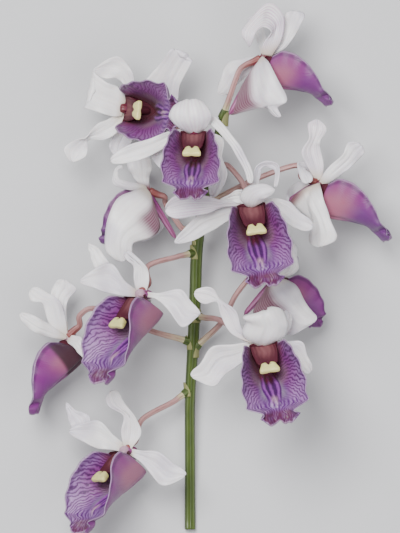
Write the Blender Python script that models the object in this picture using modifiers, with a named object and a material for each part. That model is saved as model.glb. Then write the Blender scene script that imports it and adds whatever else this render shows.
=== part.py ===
"""A cut spray of dendrobium orchid, laid on its back: one stem, eleven pedicels and eleven blooms.

+Z points up from the table and +Y runs from the cut end towards the tip of the spray. The tables give places
on a plan that is 400 by 533 steps, with X to the right and Y down from its top left corner. Heights and sizes
are in mm.
"""

import math

import bmesh
import bpy
from mathutils import Matrix, Vector

MM = 0.001
PLAN_STEP = 0.4
PLAN_MIDDLE = Vector((200.0, 266.5))
# From the middle of the plan to the middle of the finished spray.
PLAN_SHIFT = Vector((-1.6, 0.25, 0.0))

BLADE_THICKNESS = 0.8
BLADE_STEPS = 8
BLADE_CELLS = 2
# The middle of a tepal is dished by this share of its width, unless its own third value says otherwise.
BLADE_DISH = 0.12
LIP_THICKNESS = 0.8
JOINT_GAP = 0.3
HEART_RADIUS = 3.0
STUB_LENGTH = 5.0
STUB_RADIUS = 1.5
STUB_ROOT_RADIUS = 2.1
STUB_LEAN_BACK = 0.6
STEM_SIDES = 8
STEM_STEPS = 20
BOSS_REACH = 4.6
BOSS_RADII = (1.9, 1.45)
BRACT_REACH = 3.4
BRACT_DROP = 3.6
BRACT_RADII = (1.2, 0.4)
KNOB_SIDES = 6
PEDICEL_SIDES = 6
PEDICEL_RADII = [1.35, 1.25, 1.15, 1.1, 1.1, 1.15, 1.2, 1.3, STUB_RADIUS]
PEDICEL_END_REACH = 3.0

# Colour and roughness of each kind of piece.
FINISHES = {
    "stem": ((0.16, 0.25, 0.03), 0.5),
    "pedicel": ((0.62, 0.36, 0.34), 0.5),
    "tepals": ((0.86, 0.85, 0.84), 0.6),
    "lip": ((0.36, 0.12, 0.42), 0.55),
    "column": ((0.30, 0.04, 0.10), 0.5),
    "anther_cap": ((0.80, 0.78, 0.45), 0.5),
}

# The stem's middle line from the cut end to the tip: plan place, height, radius.
STEM_LINE = [
    (190, 531, 2.0, 2.2),
    (190, 515, 2.0, 2.2),
    (190, 470, 4.5, 2.1),
    (190, 400, 8.5, 2.1),
    (193, 345, 11.5, 2.3),
    (195, 300, 13.5, 2.4),
    (197, 250, 16.0, 2.4),
    (203, 205, 19.0, 2.2),
    (211, 165, 21.5, 2.0),
    (217, 140, 23.5, 1.8),
    (222, 119, 25.0, 1.5),
]

# Each bloom: the plan place and height of its heart; where it looks (turned right, turned down, rolled left,
# in degrees); its size; the plan Y of its pedicel's foot and the points the pedicel passes; the tip of the spur
# at the back of the bloom, where that is known; whether its lip has a long root; and its tepals. A tepal is a pair of edges from root to tip, whose
# points give the plan place and the height above the heart, then how deep it is dished, if that isn't as usual.
BLOOMS = {
    "bloom_01": {
        "heart": (124, 108, 27), "look": (-12, 0, 84), "size": 1.0,
        "foot": 138, "by": [(178, 130, 21), (148, 118, 19)],
        "tepals": [
            ([(126, 100, 0), (118, 87, 2), (106, 82, 3), (94, 72, 3), (96, 74, -3)],
             [(122, 116, 0), (112, 116, 2), (98, 112, 3), (85, 108, 3), (88, 108, -3)]),
            ([(130, 100, -1), (134, 80, 0), (128, 65, 1), (116, 56, 2), (93, 68, 4)],
             [(124, 102, -1), (125, 87, 0), (116, 78, 1), (104, 78, 2), (93, 72, 4)]),
            ([(122, 110, -1), (108, 119, 0), (97, 124, 1), (87, 136, 3), (77, 139, 1), (64, 148, 0),
              (68, 161, -1)],
             [(126, 120, -1), (116, 133, 0), (103, 140, 0), (88, 139, -1), (88, 146, -1),
              (86, 155, -1), (76, 163, -1)]),
            ([(124, 104, -1), (148, 77, -2), (161, 62, 0), (172, 48, 2), (180, 52, -2)],
             [(126, 112, -1), (172, 108, -2), (180, 84, -1), (192, 62, 2), (190, 64, -2)]),
            ([(121, 110, -1), (116, 130, -4), (109, 144, -6), (112, 155, -7)],
             [(128, 110, -1), (134, 130, -4), (130, 144, -6), (122, 155, -7)]),
        ],
    },
    "bloom_02": {
        "heart": (264, 57, 30), "look": (94, -12, 0), "size": 0.86,
        "foot": 119, "by": [(231, 93, 28), (239, 71, 28)],
        "spur": (229, 115, 31),
        "tepals": [
            ([(272, 56, 1), (282, 38, 2), (284, 16, 3), (268, 3, 5), (246, 24, 7), (242, 34, 7),
              (248, 46, 6)],
             [(262, 54, 1), (263, 44, 3), (271, 33, 5), (264, 27, 7), (257, 31, 8), (254, 38, 8),
              (251, 46, 7)]),
            ([(264, 54, -1), (280, 44, -2), (284, 28, -2), (285, 9, -1)],
             [(266, 59, -1), (287, 46, -1), (298, 30, 0), (308, 12, 1)]),
            ([(262, 56, -1), (256, 38, -7), (250, 26, -12), (246, 18, -15)],
             [(268, 56, -1), (266, 36, -7), (262, 22, -12), (256, 14, -15)]),
            ([(263, 56, 2), (270, 64, 8), (281, 86, 11), (287, 101, 11), (277, 108, 10), (284, 117, 10)],
             [(258, 66, 1), (239, 92, 1), (230, 114, 2), (250, 109, 5), (266, 108, 7), (274, 117, 8)]),
            ([(266, 54, -1), (244, 58, -7), (227, 63, -9), (221, 78, -10), (216, 91, -11)],
             [(262, 60, -1), (250, 72, -7), (237, 84, -9), (229, 93, -10), (221, 95, -11)]),
        ],
    },
    "bloom_03": {
        "heart": (194, 131, 56), "look": (-4, 2, 0), "size": 0.95,
        "foot": 155, "by": [(206, 148, 38)],
        "tepals": [
            ([(187, 133, -1), (178, 127, 2), (169, 117, 4), (176, 105, 3), (186, 107, -2)],
             [(201, 133, -1), (208, 126, 2), (212, 116, 4), (203, 102, 3), (200, 106, -2)], -0.14),
            ([(192, 128, -2), (172, 131, 0), (150, 139, 1), (128, 146, 2), (110, 156, 2)],
             [(192, 134, -2), (174, 142, 0), (160, 151, 1), (138, 161, 2), (112, 166, 2)]),
            ([(194, 130, -2), (206, 122, -1), (226, 141, 0), (237, 157, 0), (245, 174, 1), (248, 184, 2)],
             [(196, 124, -2), (214, 117, 0), (236, 141, 0), (246, 158, 1), (252, 172, 2), (254, 183, 2)]),
            ([(193, 134, -1.5), (206, 145, -4), (208, 160, -5), (210, 175, -6), (207, 195, -6)],
             [(196, 130, -1.5), (222, 138, -4), (222, 157, -5), (227, 175, -6), (218, 199, -6)]),
            ([(192, 129, -1.5), (168, 144, -4), (153, 156, -5), (158, 168, -6)],
             [(195, 134, -1.5), (182, 152, -4), (174, 164, -5), (168, 170, -6)]),
        ],
    },
    "bloom_04": {
        "heart": (250, 203, 56), "look": (6, 10, 7), "size": 1.05,
        "foot": 172, "by": [(227, 165, 34), (242, 182, 43)],
        "tepals": [
            ([(246, 206, -1), (240, 197, 2), (246, 188, 5), (262, 184, 7), (272, 187, 8)],
             [(255, 206, -1), (262, 202, 4), (265, 199, 7), (270, 196, 8), (276, 191, 8)], -0.25),
            ([(248, 207, -0.5), (238, 203, -0.5), (219, 202, 0)],
             [(250, 200, -1), (240, 190, 1), (222, 199, 2)]),
            ([(250, 200, -2), (228, 202, 0), (205, 196, 3), (182, 194, 4), (165, 202, 3)],
             [(250, 206, -2), (226, 207, 0), (208, 213, 1), (186, 218, 1), (166, 218, 1)]),
            ([(249, 200, -1.5), (222, 209, -4), (200, 214, -5), (184, 229, -5), (173, 241, -4)],
             [(251, 206, -1.5), (226, 222, -4), (210, 232, -6), (194, 240, -6), (178, 245, -4)]),
            ([(249.5, 199, -1.1), (272, 198, -4), (288, 202, -4), (302, 214, -5), (313, 221, -5)],
             [(251.5, 205, -1.1), (275, 212, -4), (288, 224, -4), (300, 230, -5), (312, 232, -5)]),
            ([(250, 203, -1), (253, 180, -4), (256, 166, -6), (268, 162, -5), (279, 166, -4), (277, 187, -3)],
             [(255, 203, -1), (259, 182, -5), (261, 171, -8), (267, 167, -8), (274, 171, -6),
              (273, 187, -5)]),
        ],
    },
    "bloom_05": {
        "heart": (320, 184, 25), "look": (92, -8, 0), "size": 0.93,
        "foot": 205, "by": [(258, 178, 22), (297, 165, 24)],
        "spur": (289, 201, 25),
        "tepals": [
            ([(316, 182, 0), (306, 163, 2), (302, 152, 3), (309, 138, 3), (308, 124, 2), (314, 119, 1)],
             [(322, 180, 0), (324, 166, 0), (321, 148, 0), (320, 141, 1), (327, 130, 2), (321, 120, 1)]),
            ([(319, 182, 1), (327, 169, 3), (342, 155, 4), (348, 143, 5), (357, 140, 5)],
             [(323, 186, 1), (338, 177, 2), (352, 166, 2), (362, 156, 3), (366, 150, 4)]),
            ([(322, 182, -1), (312, 163, -3), (299, 161, 0), (298, 170, 4), (303, 186, 6)],
             [(318, 186, -1), (311, 172, -2), (305, 169, 2), (310, 173, 5), (315, 180, 7)]),
            ([(320, 183, 2), (323, 195, 9), (329, 216, 10), (337, 236, 10), (328, 246, 10)],
             [(290, 201, 1), (302, 212, 4), (312, 224, 6), (309, 239, 7), (314, 248, 8)]),
            ([(316, 186, -2), (304, 182, -8), (294, 184, -16), (288, 192, -24.6), (286, 202, -24.6)],
             [(300, 196, -2), (294, 200, -8), (300, 200, -16), (300, 204, -24.6), (294, 210, -24.6)]),
        ],
    },
    "bloom_06": {
        "heart": (146, 190, 22), "look": (-115, 4, 0), "size": 0.72,
        "foot": 238, "by": [(180, 226, 17), (166, 204, 17)],
        "spur": (176, 239, 22),
        "tepals": [
            ([(142, 188, 0), (134, 178, 1), (128, 168, 2), (126, 158, 2)],
             [(150, 190, 0), (149, 178, 1), (152, 166, 2), (150, 156, 1)]),
            ([(147, 189, 1), (130, 190, 5), (114, 184, 6), (113, 173, 6), (120, 164, 5)],
             [(144, 185, 1), (131, 182, 5), (119, 178, 7), (118, 170, 7), (124, 168, 6)]),
            ([(143, 191, -1.4), (134, 174, -8), (126, 166, -13)],
             [(149, 190, -1), (146, 174, -8), (138, 162, -14)]),
            ([(145, 187, 1), (133, 191, 8), (118, 198, 11), (109, 214, 13), (105, 236, 13),
              (106, 250, 12), (113, 261, 11)],
             [(154, 208, 6), (160, 226, 7), (152, 237, 9), (134, 243, 12), (132, 252, 12), (131, 261, 11)]),
            ([(146, 189, -1), (154, 200, -11), (148, 214, -17), (138, 224, -21.6), (128, 228, -21.6)],
             [(151, 191, -1), (168, 206, -11), (164, 226, -17), (152, 238, -21.6), (138, 244, -21.6)]),
        ],
    },
    "bloom_07": {
        "heart": (140, 294, 40), "look": (-50, 14, -2), "size": 1.07,
        "foot": 252, "by": [(176, 257, 22), (148, 266, 30)],
        "spur": (152, 295, 35.6), "long_root": True,
        "tepals": [
            ([(137, 294, -1), (134, 280, 0), (133, 266, 1), (126, 259, 2), (122, 255, 2)],
             [(146, 294, -1), (149, 280, 0), (147, 268, 1), (137, 257, 2), (129, 250, 2)]),
            ([(138, 291, -1.3), (124, 280, 1), (112, 264, 2), (97, 268, 3), (80, 278, 3)],
             [(138, 297, -1), (124, 296, 1), (108, 293, 2), (94, 288, 3), (80, 284, 3)]),
            ([(112, 268, 1), (105, 257, 0), (97, 247, -1), (88, 243, -2)],
             [(98, 274, 1), (93, 264, 0), (90, 254, -1), (88, 247, -2)]),
            ([(142, 291, -1), (160, 293, 1), (180, 289, 2), (190, 300, 2), (202, 312, 1)],
             [(143, 297, -1), (156, 299, 1), (169, 311, 2), (182, 327, 3), (196, 318, 1)]),
            ([(138, 294, -1.4), (132, 299, -9), (112, 310, -12), (96, 340, -13)],
             [(141, 297, -1.4), (137, 306, -9), (120, 328, -12), (104, 346, -13)]),
            ([(139, 296, -1.4), (137, 303, -10), (132, 322, -14), (132, 344, -14)],
             [(144, 293, -1.4), (151, 300, -10), (150, 322, -14), (140, 342, -14)]),
        ],
    },
    "bloom_08": {
        "heart": (65, 339, 22), "look": (-88, 20, 0), "size": 0.86,
        "foot": 343, "by": [(148, 330, 18), (98, 309, 24), (80, 315, 24)],
        "spur": (75, 336, 19), "long_root": True,
        "tepals": [
            ([(60, 338, 1), (48, 322, 3), (42, 304, 4), (31, 301, 4), (27, 294, 4)],
             [(68, 338, 1), (65, 318, 2), (60, 302, 3), (46, 292, 4), (34, 285, 4)]),
            ([(62, 336, -2), (54, 316, -3), (50, 296, -4), (54, 284, -4), (59, 278, -4)],
             [(68, 334, -2), (66, 312, -3), (68, 300, -4), (76, 290, -4), (70, 282, -4)]),
            ([(66, 336, 1), (50, 325, 4), (40, 319, 7), (30, 314, 8), (21, 312, 8)],
             [(66, 341, 1), (48, 337, 4), (34, 332, 7), (24, 324, 8), (18, 316, 8)]),
            ([(65, 342, 1), (72, 346, 6), (78, 353, 7), (86, 362, 7)],
             [(67, 335, 0), (80, 337, 5), (84, 346, 6), (92, 356, 6)]),
            ([(64, 337, -1.4), (61, 340, -9), (52, 360, -14), (46, 372, -15)],
             [(67, 341, -1.4), (71, 342, -9), (66, 362, -14), (54, 376, -15)]),
        ],
    },
    "bloom_09": {
        "heart": (262, 342, 44), "look": (7, 8, 9), "size": 1.05,
        "foot": 316, "by": [(222, 321, 26), (244, 338, 34)],
        "tepals": [
            ([(256, 345, -1), (242, 334, 2), (246, 322, 5), (243, 317, 7), (256, 313, 8)],
             [(268, 345, -1), (284, 336, 2), (288, 326, 4), (284, 312, 6), (274, 304, 7)], -0.2),
            ([(258, 346, -1), (232, 334, 0), (221, 316, 1), (217, 302, 2), (205, 304, 3), (193, 298, 3)],
             [(260, 338, -1), (243, 330, 0), (236, 311, 1), (221, 300, 2), (212, 288, 3), (196, 287, 3)]),
            ([(264, 344, -2), (282, 338, -4), (291, 326, -5), (292, 316, -6)],
             [(262, 338, -2), (274, 330, -4), (282, 320, -5), (285, 308, -6)]),
            ([(261, 339, -1.5), (236, 344, -4), (212, 347, -5), (200, 364, -5), (188, 373, -5)],
             [(263, 345, -1.5), (240, 364, -4), (226, 374, -5), (214, 386, -5), (196, 381, -5)]),
            ([(261.5, 338, -1.1), (286, 341, -4), (302, 342, -5), (308, 357, -6), (314, 368, -6)],
             [(263.5, 344, -1.1), (284, 354, -4), (292, 362, -5), (302, 370, -6), (307, 376, -6)]),
        ],
    },
    "bloom_10": {
        "heart": (277, 278, 24), "look": (132, -4, 0), "size": 0.75,
        "foot": 351, "by": [(222, 322, 16), (236, 295, 20), (252, 276, 22)],
        "spur": (244, 315, 24),
        "tepals": [
            ([(274, 278, 0), (284, 268, 1), (286, 254, 2), (288, 242, 2)],
             [(282, 280, 0), (298, 270, 1), (297, 256, 2), (298, 245, 1)]),
            ([(275, 280, 0.5), (264, 270, 3), (259, 260, 3), (260, 250, 3)],
             [(279, 276, 0.5), (274, 264, 3), (270, 254, 3), (267, 247, 3)]),
            ([(276, 275, -1), (286, 266, -8), (289, 256, -12), (290, 250, -14)],
             [(279, 280, -1), (296, 270, -8), (299, 260, -12), (296, 252, -14)]),
            ([(278, 276, 1), (296, 285, 7), (303, 298, 7), (312, 311, 8), (320, 319, 8)],
             [(264, 294, 1), (254, 314, 3), (278, 328, 5), (291, 335, 7), (306, 328, 8)]),
            ([(272, 280, -1), (268, 298, -13), (282, 316, -17), (294, 324, -18)],
             [(267, 285, -1), (254, 304, -12), (270, 324, -17), (288, 332, -18)]),
        ],
    },
    "bloom_11": {
        "heart": (124, 451, 26), "look": (-52, 9, 0), "size": 1.04,
        "foot": 390, "by": [(172, 403, 13), (142, 420, 18)],
        "spur": (136, 451, 21.6), "long_root": True,
        "tepals": [
            ([(124, 450, 0), (121, 432, 1), (123, 416, 2), (108, 406, 3), (105, 394, 3)],
             [(130, 451, 0), (141, 434, 0), (136, 419, 1), (124, 402, 2), (117, 388, 2)]),
            ([(126, 446, -1), (112, 434, 1), (99, 421, 2), (84, 423, 3), (69, 428, 3)],
             [(126, 453, -1), (110, 450, 1), (98, 449, 2), (83, 442, 3), (69, 435, 3)]),
            ([(90, 433, 3.4), (89, 416, 2), (77, 411, 1), (66, 402, 0)],
             [(75, 434, 3), (70, 425, 2), (67, 414, 1), (65, 405, 0)]),
            ([(126, 448, -1), (142, 451, 1), (158, 452, 2), (174, 464, 2), (188, 472, 2)],
             [(127, 454, -1), (140, 462, 1), (152, 476, 2), (163, 486, 3), (182, 480, 2)]),
            ([(122, 448, -1.4), (112, 451, -10), (92, 472, -14), (84, 496, -15)],
             [(125, 453, -1.4), (120, 455, -10), (104, 484, -14), (90, 502, -15)]),
            ([(122, 452, -1.4), (123, 454, -9), (118, 476, -13), (114, 500, -13)],
             [(127, 449, -1.4), (135, 454, -10), (134, 476, -13), (124, 496, -13)]),
        ],
    },
}

# The lip's floor and its free margin, as (forward, up) from the heart, and its half width, from root to tip.
# A bloom seen from its side shows more of the lip's root, and its floor starts further back.
LIP_FLOOR = [(-4.0, -12.5), (1.0, -15.4), (6.5, -17.2), (12.5, -19.0), (18.5, -22.0), (23.5, -27.0)]
LONG_LIP_FLOOR = [(-8.8, -10.0), (-3.0, -14.0), (4.5, -17.0), (11.5, -19.0), (18.5, -22.0), (23.5, -27.0)]
LIP_MARGIN = [(3.6, -0.5), (9.0, 1.0), (15.5, -3.0), (20.5, -11.0), (23.5, -20.5), (25.5, -26.0)]
LIP_HALF_WIDTH = [5.5, 7.9, 10.0, 12.0, 11.6, 8.6]
LIP_ROWS = [0.0, 0.14, 0.28, 0.42, 0.56, 0.7, 0.8, 0.88, 1.0]
LIP_CELLS = 8
LOBE_FROM = 0.81
LOBE_TO = 0.87
LOBE_NARROWS = 0.36
LOBE_LIES_DOWN = 0.25
KEEL_HALF_WIDTH = 0.3
KEEL_HEIGHT = 1.0
KEEL_LEAN = 0.6
FRILL = 1.1
FRILL_WAVES = 9.0
FRILL_FROM = 0.6
COLUMN_ALONG = Vector((0.0, -0.54, 0.84))
COLUMN_LENGTH = 9.4
COLUMN_HALF_WIDTH = 4.4
COLUMN_HALF_DEPTH = 1.8
CAP_LENGTH = 3.0
CAP_HALF_WIDTH = 4.6
# The column's foot runs down the front of the spur: half width, up and forward. A small bloom's foot is left out.
FOOT_LINE = [(2.2, -3.0, 3.0), (2.0, -7.0, -0.62), (1.4, -10.0, -2.9)]
FOOT_FROM_SIZE = 0.8
SPUR_ALONG = Vector((0.0, -0.88, -0.48))
SPUR_LENGTH = 13.5
SPUR_RADII = (2.6, 1.1)


def clear_scene():
    for obj in list(bpy.data.objects):
        bpy.data.objects.remove(obj)


def finish_of(kind):
    """One material for each kind of piece."""
    found = bpy.data.materials.get(kind)
    if found:
        return found
    colour, roughness = FINISHES[kind]
    made = bpy.data.materials.new(kind)
    made.use_nodes = True
    shader = made.node_tree.nodes["Principled BSDF"]
    shader.inputs["Base Color"].default_value = (*colour, 1.0)
    shader.inputs["Roughness"].default_value = roughness
    shader.inputs["Metallic"].default_value = 0.0
    return made


def collection(name, helper=False):
    made = bpy.data.collections.new(name)
    bpy.context.scene.collection.children.link(made)
    made.hide_render = helper
    return made


def place(x, y, z):
    """A plan place and a height as a point in millimetres."""
    return Vector(((x - PLAN_MIDDLE.x) * PLAN_STEP, (PLAN_MIDDLE.y - y) * PLAN_STEP, z)) + PLAN_SHIFT


def new_object(name, bm, into, kind):
    """The bmesh, given in millimetres, as an object in metres."""
    bmesh.ops.scale(bm, vec=Vector((MM, MM, MM)), verts=bm.verts)
    mesh = bpy.data.meshes.new(name)
    bm.to_mesh(mesh)
    bm.free()
    obj = bpy.data.objects.new(name, mesh)
    obj.data.materials.append(finish_of(kind))
    into.objects.link(obj)
    return obj


def between(values, share):
    """The value at a share of a list, on a smooth curve through all of them."""
    where = min(max(share, 0.0), 1.0) * (len(values) - 1)
    i = min(int(where), len(values) - 2)
    t = where - i
    b, c = values[i], values[i + 1]
    a = values[i - 1] if i else b + (b - c)
    d = values[i + 2] if i + 2 < len(values) else c + (c - b)
    return 0.5 * (2 * b + (c - a) * t + (2 * a - 5 * b + 4 * c - d) * t * t + (3 * b - a - 3 * c + d) * t**3)


def look_axes(look):
    """The bloom's right, up and forward directions, as the columns of a matrix."""
    turn, down, roll = (math.radians(a) for a in look)
    return Matrix.Rotation(turn, 3, "Y") @ Matrix.Rotation(down, 3, "X") @ Matrix.Rotation(roll, 3, "Z")


def solid_sheet(name, bm, thickness, into, kind):
    """A thin solid made from an open sheet, whose two faces are split into triangles alike."""
    bmesh.ops.triangulate(bm, faces=bm.faces)
    obj = new_object(name, bm, into, kind)
    skin = obj.modifiers.new("thickness", "SOLIDIFY")
    skin.thickness = thickness * MM
    skin.offset = 0.0
    return obj


def sheet_between(left, right, steps, share_of_width, forward):
    """A blade spread between two edges, its middle dished away from a direction by a share of its width."""
    bm = bmesh.new()
    bmesh.ops.create_grid(bm, x_segments=BLADE_CELLS, y_segments=steps, size=1.0)
    for vert in bm.verts:
        share, side = (vert.co.y + 1) / 2, vert.co.x
        a, b = between(left, share), between(right, share)
        ahead = between(left, share + 0.03) + between(right, share + 0.03)
        behind = between(left, share - 0.03) + between(right, share - 0.03)
        normal = (ahead - behind).cross(b - a).normalized()
        if normal.dot(forward) < 0:
            normal.negate()
        dish = share_of_width * (b - a).length * (1 - side * side)
        vert.co = a.lerp(b, (side + 1) / 2) - normal * dish
    return bm


def tepal_sheet(tepal, height, forward):
    """A tepal's blade between its two edges, whose heights count from the heart."""
    left, right = ([place(x, y, height + z) for x, y, z in edge] for edge in tepal[:2])
    return sheet_between(left, right, BLADE_STEPS, tepal[2] if len(tepal) > 2 else BLADE_DISH, forward)


def placed(bm, axes, heart):
    """Turns a bmesh from the bloom's own axes to the spray's and moves it to the heart."""
    bmesh.ops.transform(bm, matrix=Matrix.Translation(heart) @ axes.to_4x4(), verts=bm.verts)
    return bm


def lip_sheet(long_root):
    """The lip in the bloom's own axes: a boat with tall side walls, a raised keel and a frilled end lobe."""
    bm = bmesh.new()
    bmesh.ops.create_grid(bm, x_segments=LIP_CELLS, y_segments=len(LIP_ROWS) - 1, size=1.0)
    floor = [Vector(p) for p in (LONG_LIP_FLOOR if long_root else LIP_FLOOR)]
    margin = [Vector(p) for p in LIP_MARGIN]
    for vert in bm.verts:
        row = round((vert.co.y + 1) / 2 * (len(LIP_ROWS) - 1))
        share, side = LIP_ROWS[row], vert.co.x
        out = abs(side)
        lobe = min(max((share - LOBE_FROM) / (LOBE_TO - LOBE_FROM), 0.0), 1.0)
        reach = between(LIP_HALF_WIDTH, share) * (1.0 - LOBE_NARROWS * lobe)
        wall = between(floor, share).lerp(between(margin, share), (out * (1.0 - LOBE_LIES_DOWN * lobe)) ** 1.7)
        keel = KEEL_HEIGHT if out < KEEL_HALF_WIDTH and 0.05 < share < 0.85 else 0.0
        spread = 0.35 * out + 0.65 * math.sin(math.pi / 2 * out)
        frill = FRILL * math.sin(FRILL_WAVES * side) * max(0.0, share - FRILL_FROM) / (1.0 - FRILL_FROM)
        ridge = KEEL_LEAN * keel
        vert.co = Vector((math.copysign(reach * spread, side), wall.y + ridge, wall.x + ridge + frill))
    return bm


def aim(bm, direction):
    """Turns a shape made along +Z to point along a direction."""
    turn = Vector((0, 0, 1)).rotation_difference(direction).to_matrix()
    bmesh.ops.rotate(bm, cent=Vector((0, 0, 0)), matrix=turn, verts=bm.verts)


def rod(start, end, radius1, radius2, sides):
    """A tapered rod between two points."""
    bm = bmesh.new()
    way = end - start
    bmesh.ops.create_cone(
        bm, cap_ends=True, segments=sides, radius1=radius1, radius2=radius2, depth=way.length,
        matrix=Matrix.Translation((0, 0, way.length / 2)),
    )
    aim(bm, way)
    bmesh.ops.translate(bm, vec=start, verts=bm.verts)
    return bm


def flattened_rod(start, length, radius1, radius2, half_width, half_depth, sides):
    """A rod of oval section that lies along the column's direction."""
    bm = rod(Vector((0, 0, start)), Vector((0, 0, start + length)), radius1, radius2, sides)
    bmesh.ops.scale(bm, vec=Vector((half_width, half_depth, 1.0)), verts=bm.verts)
    aim(bm, COLUMN_ALONG)
    return bm


def column_solid(size):
    """A short flattened rod that leans forward over the lip."""
    start = HEART_RADIUS + JOINT_GAP
    return flattened_rod(start, COLUMN_LENGTH * size, 0.85, 1.0, COLUMN_HALF_WIDTH * size, COLUMN_HALF_DEPTH, 8)


def foot_sheet(size):
    """The column's foot, which closes the lip's root."""
    left = [Vector((-x, y, z)) * size for x, y, z in FOOT_LINE]
    right = [Vector((x, y, z)) * size for x, y, z in FOOT_LINE]
    return sheet_between(left, right, 2, 0.0, Vector((0, 0, 1)))


def cap_solid(size):
    """The anther cap: a small wedge across the column's tip."""
    start = HEART_RADIUS + COLUMN_LENGTH * size + 2 * JOINT_GAP
    return flattened_rod(start, CAP_LENGTH, 0.7, 1.0, CAP_HALF_WIDTH * size, COLUMN_HALF_DEPTH, 6)


def joined(name, body, pieces_in, into):
    """One mesh from a body and the pieces in a helper collection, which are then removed."""
    union = body.modifiers.new("join", "BOOLEAN")
    union.operation = "UNION"
    union.operand_type = "COLLECTION"
    union.collection = pieces_in
    union.solver = "EXACT"
    bpy.context.view_layer.update()
    graph = bpy.context.evaluated_depsgraph_get()
    mesh = bpy.data.meshes.new_from_object(body.evaluated_get(graph))
    made = bpy.data.objects.new(name, mesh)
    into.objects.link(made)
    for piece in list(pieces_in.objects):
        bpy.data.objects.remove(piece)
    bpy.data.objects.remove(body)
    bpy.data.collections.remove(pieces_in)
    return made


def cut_at_table(obj):
    """Flattens whatever reaches the table, so that the piece stands on a real flat spot."""
    bm = bmesh.new()
    bm.from_mesh(obj.data)
    bmesh.ops.remove_doubles(bm, verts=bm.verts, dist=0.000001)
    everything = [*bm.verts, *bm.edges, *bm.faces]
    table, up = Vector((0, 0, 0)), Vector((0, 0, 1))
    bmesh.ops.bisect_plane(bm, geom=everything, plane_co=table, plane_no=up, clear_inner=True)
    opened = [edge for edge in bm.edges if edge.is_boundary]
    if opened:
        bmesh.ops.triangle_fill(bm, edges=opened, use_beauty=True, normal=-up)
    bm.to_mesh(obj.data)
    bm.free()


def tube(name, points, radii, sides, into, kind):
    """A round rod along points, as a mesh with welded caps."""
    line = bpy.data.curves.new(name, "CURVE")
    line.dimensions = "3D"
    line.bevel_depth = MM
    line.bevel_resolution = sides // 2 - 2
    line.use_fill_caps = True
    spline = line.splines.new("POLY")
    spline.points.add(len(points) - 1)
    for point, at, radius in zip(spline.points, points, radii):
        point.co = (*(at * MM), 1.0)
        point.radius = radius
    obj = bpy.data.objects.new(name + "_line", line)
    into.objects.link(obj)
    bpy.context.view_layer.update()
    graph = bpy.context.evaluated_depsgraph_get()
    mesh = bpy.data.meshes.new_from_object(obj.evaluated_get(graph))
    bm = bmesh.new()
    bm.from_mesh(mesh)
    bmesh.ops.remove_doubles(bm, verts=bm.verts, dist=0.000001)
    bm.to_mesh(mesh)
    bm.free()
    made = bpy.data.objects.new(name, mesh)
    made.matrix_world = obj.matrix_world
    bpy.data.objects.remove(obj)
    made.data.materials.clear()
    made.data.materials.append(finish_of(kind))
    into.objects.link(made)
    return made


def foot_on_stem(plan_y):
    """The point of the stem's middle line beside a plan Y."""
    for (x0, y0, z0, _), (x1, y1, z1, _) in zip(STEM_LINE, STEM_LINE[1:]):
        if y1 <= plan_y <= y0:
            t = (y0 - plan_y) / (y0 - y1)
            return place(x0 + (x1 - x0) * t, plan_y, z0 + (z1 - z0) * t)
    return place(*STEM_LINE[-1][:3])


def stub_direction(bloom, heart, axes):
    """Where the ovary leaves the heart: half towards the pedicel, half straight back."""
    last = place(*bloom["by"][-1])
    return ((last - heart).normalized() + axes @ Vector((0, 0, -STUB_LEAN_BACK))).normalized()


def pedicel_line(bloom, heart, axes):
    """The pedicel's points, from its boss on the stem to the stub behind the bloom."""
    foot = foot_on_stem(bloom["foot"])
    by = [place(*p) for p in bloom["by"]]
    leave = (by[0] - foot).normalized()
    back = stub_direction(bloom, heart, axes)
    start = foot + leave * (BOSS_REACH + JOINT_GAP)
    end = heart + back * (STUB_LENGTH + JOINT_GAP)
    guide = [start, start + leave * PEDICEL_END_REACH, *by, end + back * PEDICEL_END_REACH, end]
    steps = len(PEDICEL_RADII) - 1
    inner = [between(guide, i / steps) for i in range(1, steps)]
    return [start, *inner, end], leave


def spur_tip(bloom, heart, axes):
    """The tip of the spur, below and behind the heart or where the table puts it."""
    if "spur" in bloom:
        return place(*bloom["spur"])
    return heart + axes @ SPUR_ALONG * SPUR_LENGTH * bloom["size"]


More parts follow.
